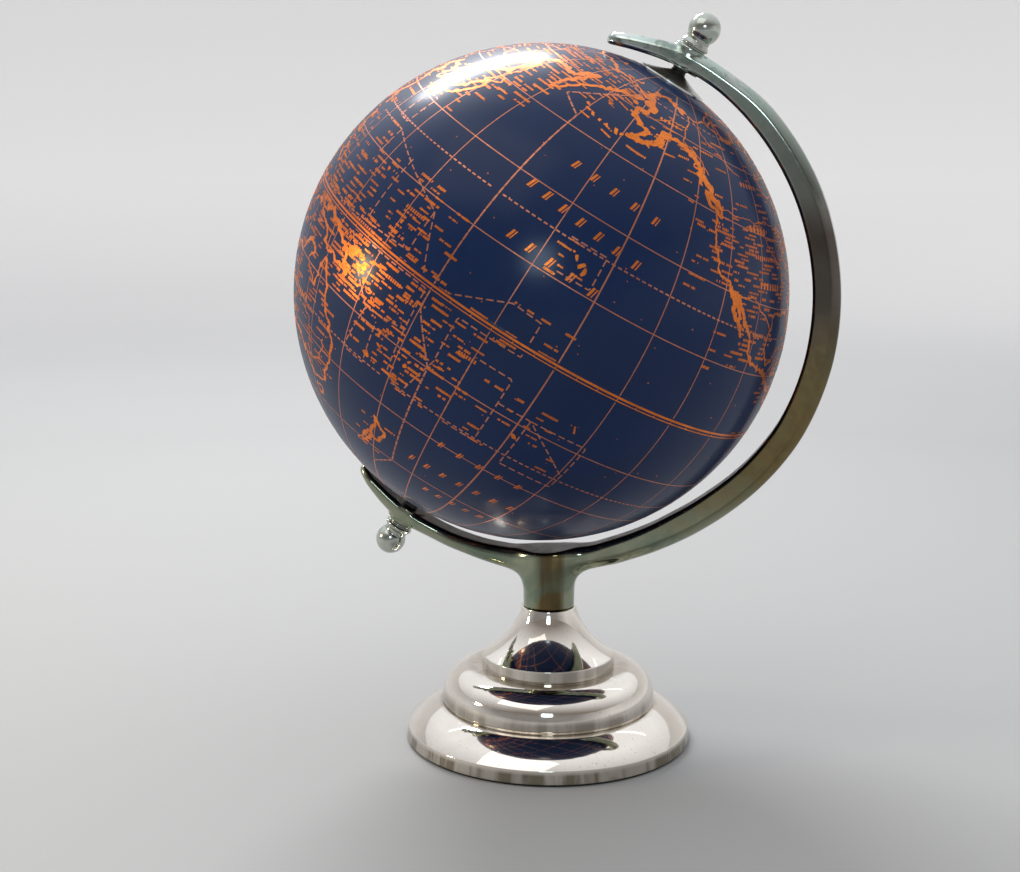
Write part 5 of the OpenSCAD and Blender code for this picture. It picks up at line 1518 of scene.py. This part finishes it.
class DESKGLOBE_OT_stage(PieceOperator, bpy.types.Operator):
    """Sets up the floor, the lights and the camera"""

    bl_idname = "deskglobe.stage"
    bl_label = "Stage"

    def execute(self, context):
        flat = [(radius, FLOOR_TOP) for radius in (0.0, 0.1, 1700.0)]
        sweep = np.concatenate([flat, bow((1800, 0), (3100, 1300), -380)])
        floor = turned("studio_floor", sweep, on_stem, 128, closed=False)
        paint = Finish("studio_paint", Roughness=0.75)
        cloud = paint.noise(0.9, 2.0, 0.5)
        reach = paint.off_axis((1, 0, 0), (0, 1, 0)) * 0.4 + 0.01 * cloud
        rise = paint.ramp(reach, *FLOOR_LEVELS)
        front = paint.ramp(paint.along((0, -0.2, 0)), (0.05, 0.0), (0.45, 1.0))
        pale = paint.mix(rise, (0.40, 0.397, 0.393), (0.93, 0.925, 0.92))
        paint.feed("Base Color", paint.mix(front * rise, pale, (0.32, 0.31, 0.30)))
        floor.data.materials.append(paint.material)
        floor.data.flip_normals()

        world = bpy.data.worlds.new("studio_world")
        context.scene.world = world
        world.use_nodes = True
        tree = world.node_tree
        place = tree.nodes.new("ShaderNodeTexCoord").outputs["Generated"]
        lean = tree.nodes.new("ShaderNodeVectorMath")
        lean.operation = "DOT_PRODUCT"
        lean.inputs[1].default_value = (-0.10, 0.45, 0.89)
        tree.links.new(place, lean.inputs[0])
        ramp = tree.nodes.new("ShaderNodeValToRGB")
        stops = (0.10, (0.20, 0.185, 0.17, 1)), (0.80, (0.86, 0.88, 0.92, 1))
        for element, (position, tone) in zip(ramp.color_ramp.elements, stops):
            element.position, element.color = position, tone
        tree.links.new(lean.outputs["Value"], ramp.inputs["Fac"])
        tree.links.new(ramp.outputs["Color"], tree.nodes["Background"].inputs["Color"])
        tree.nodes["Background"].inputs["Strength"].default_value = 1.15

        for name, target, *rest in LIGHTS:
            area_light(name, tuple(CENTRE) if target is None else target, *rest)

        data = bpy.data.cameras.new("studio_camera")
        data.sensor_width, data.lens = SENSOR, LENS
        data.clip_start, data.clip_end = 0.01, 30.0
        camera = bpy.data.objects.new("studio_camera", data)
        yaw, pitch, roll = (math.radians(angle) for angle in CAMERA_TURN)
        level = Vector((math.cos(yaw), math.sin(yaw), 0))
        ahead = Vector((-math.sin(yaw), math.cos(yaw), 0))
        forward = math.cos(pitch) * ahead - math.sin(pitch) * Vector((0, 0, 1))
        right = math.cos(roll) * level + math.sin(roll) * level.cross(forward)
        up = right.cross(forward)
        turn = Matrix((right, up, -forward)).transposed()
        camera.matrix_world = Matrix.Translation(CAMERA_PLACE) @ turn.to_4x4()
        context.scene.collection.objects.link(camera)
        context.scene.camera = camera
        context.scene.view_settings.view_transform = "Standard"
        return {"FINISHED"}


# ---------------------------------------------------------------- Panel and run

PROPERTY_GROUPS = {"globe_sizes": GlobeSizes, "arm_sizes": ArmSizes, "globe_colours": GlobeColours}
OPERATORS = (
    DESKGLOBE_OT_stage, DESKGLOBE_OT_base, DESKGLOBE_OT_arm, DESKGLOBE_OT_fittings, DESKGLOBE_OT_hardware,
    DESKGLOBE_OT_ball, DESKGLOBE_OT_grid, DESKGLOBE_OT_coasts, DESKGLOBE_OT_marks,
)


class DESKGLOBE_PT_panel(bpy.types.Panel):
    """Lists the globe's sizes, colours and pieces"""

    bl_idname = "DESKGLOBE_PT_panel"
    bl_label = "Desktop globe"
    bl_space_type = "VIEW_3D"
    bl_region_type = "UI"
    bl_category = "Globe"

    def draw(self, context):
        for holder, group in PROPERTY_GROUPS.items():
            box = self.layout.box()
            for name in group.__annotations__:
                box.prop(getattr(context.scene, holder), name)
        for operator in OPERATORS:
            self.layout.operator(operator.bl_idname)


def register():
    for group in PROPERTY_GROUPS.values():
        bpy.utils.register_class(group)
    for operator in (*OPERATORS, DESKGLOBE_PT_panel):
        bpy.utils.register_class(operator)
    for holder, group in PROPERTY_GROUPS.items():
        setattr(bpy.types.Scene, holder, bpy.props.PointerProperty(type=group))


def unregister():
    for holder in PROPERTY_GROUPS:
        delattr(bpy.types.Scene, holder)
    for registered in (DESKGLOBE_PT_panel, *reversed(OPERATORS), *PROPERTY_GROUPS.values()):
        bpy.utils.unregister_class(registered)


def main():
    register()
    for operator in OPERATORS:
        group, name = operator.bl_idname.split(".")
        getattr(getattr(bpy.ops, group), name)()


if __name__ == "__main__":
    main()
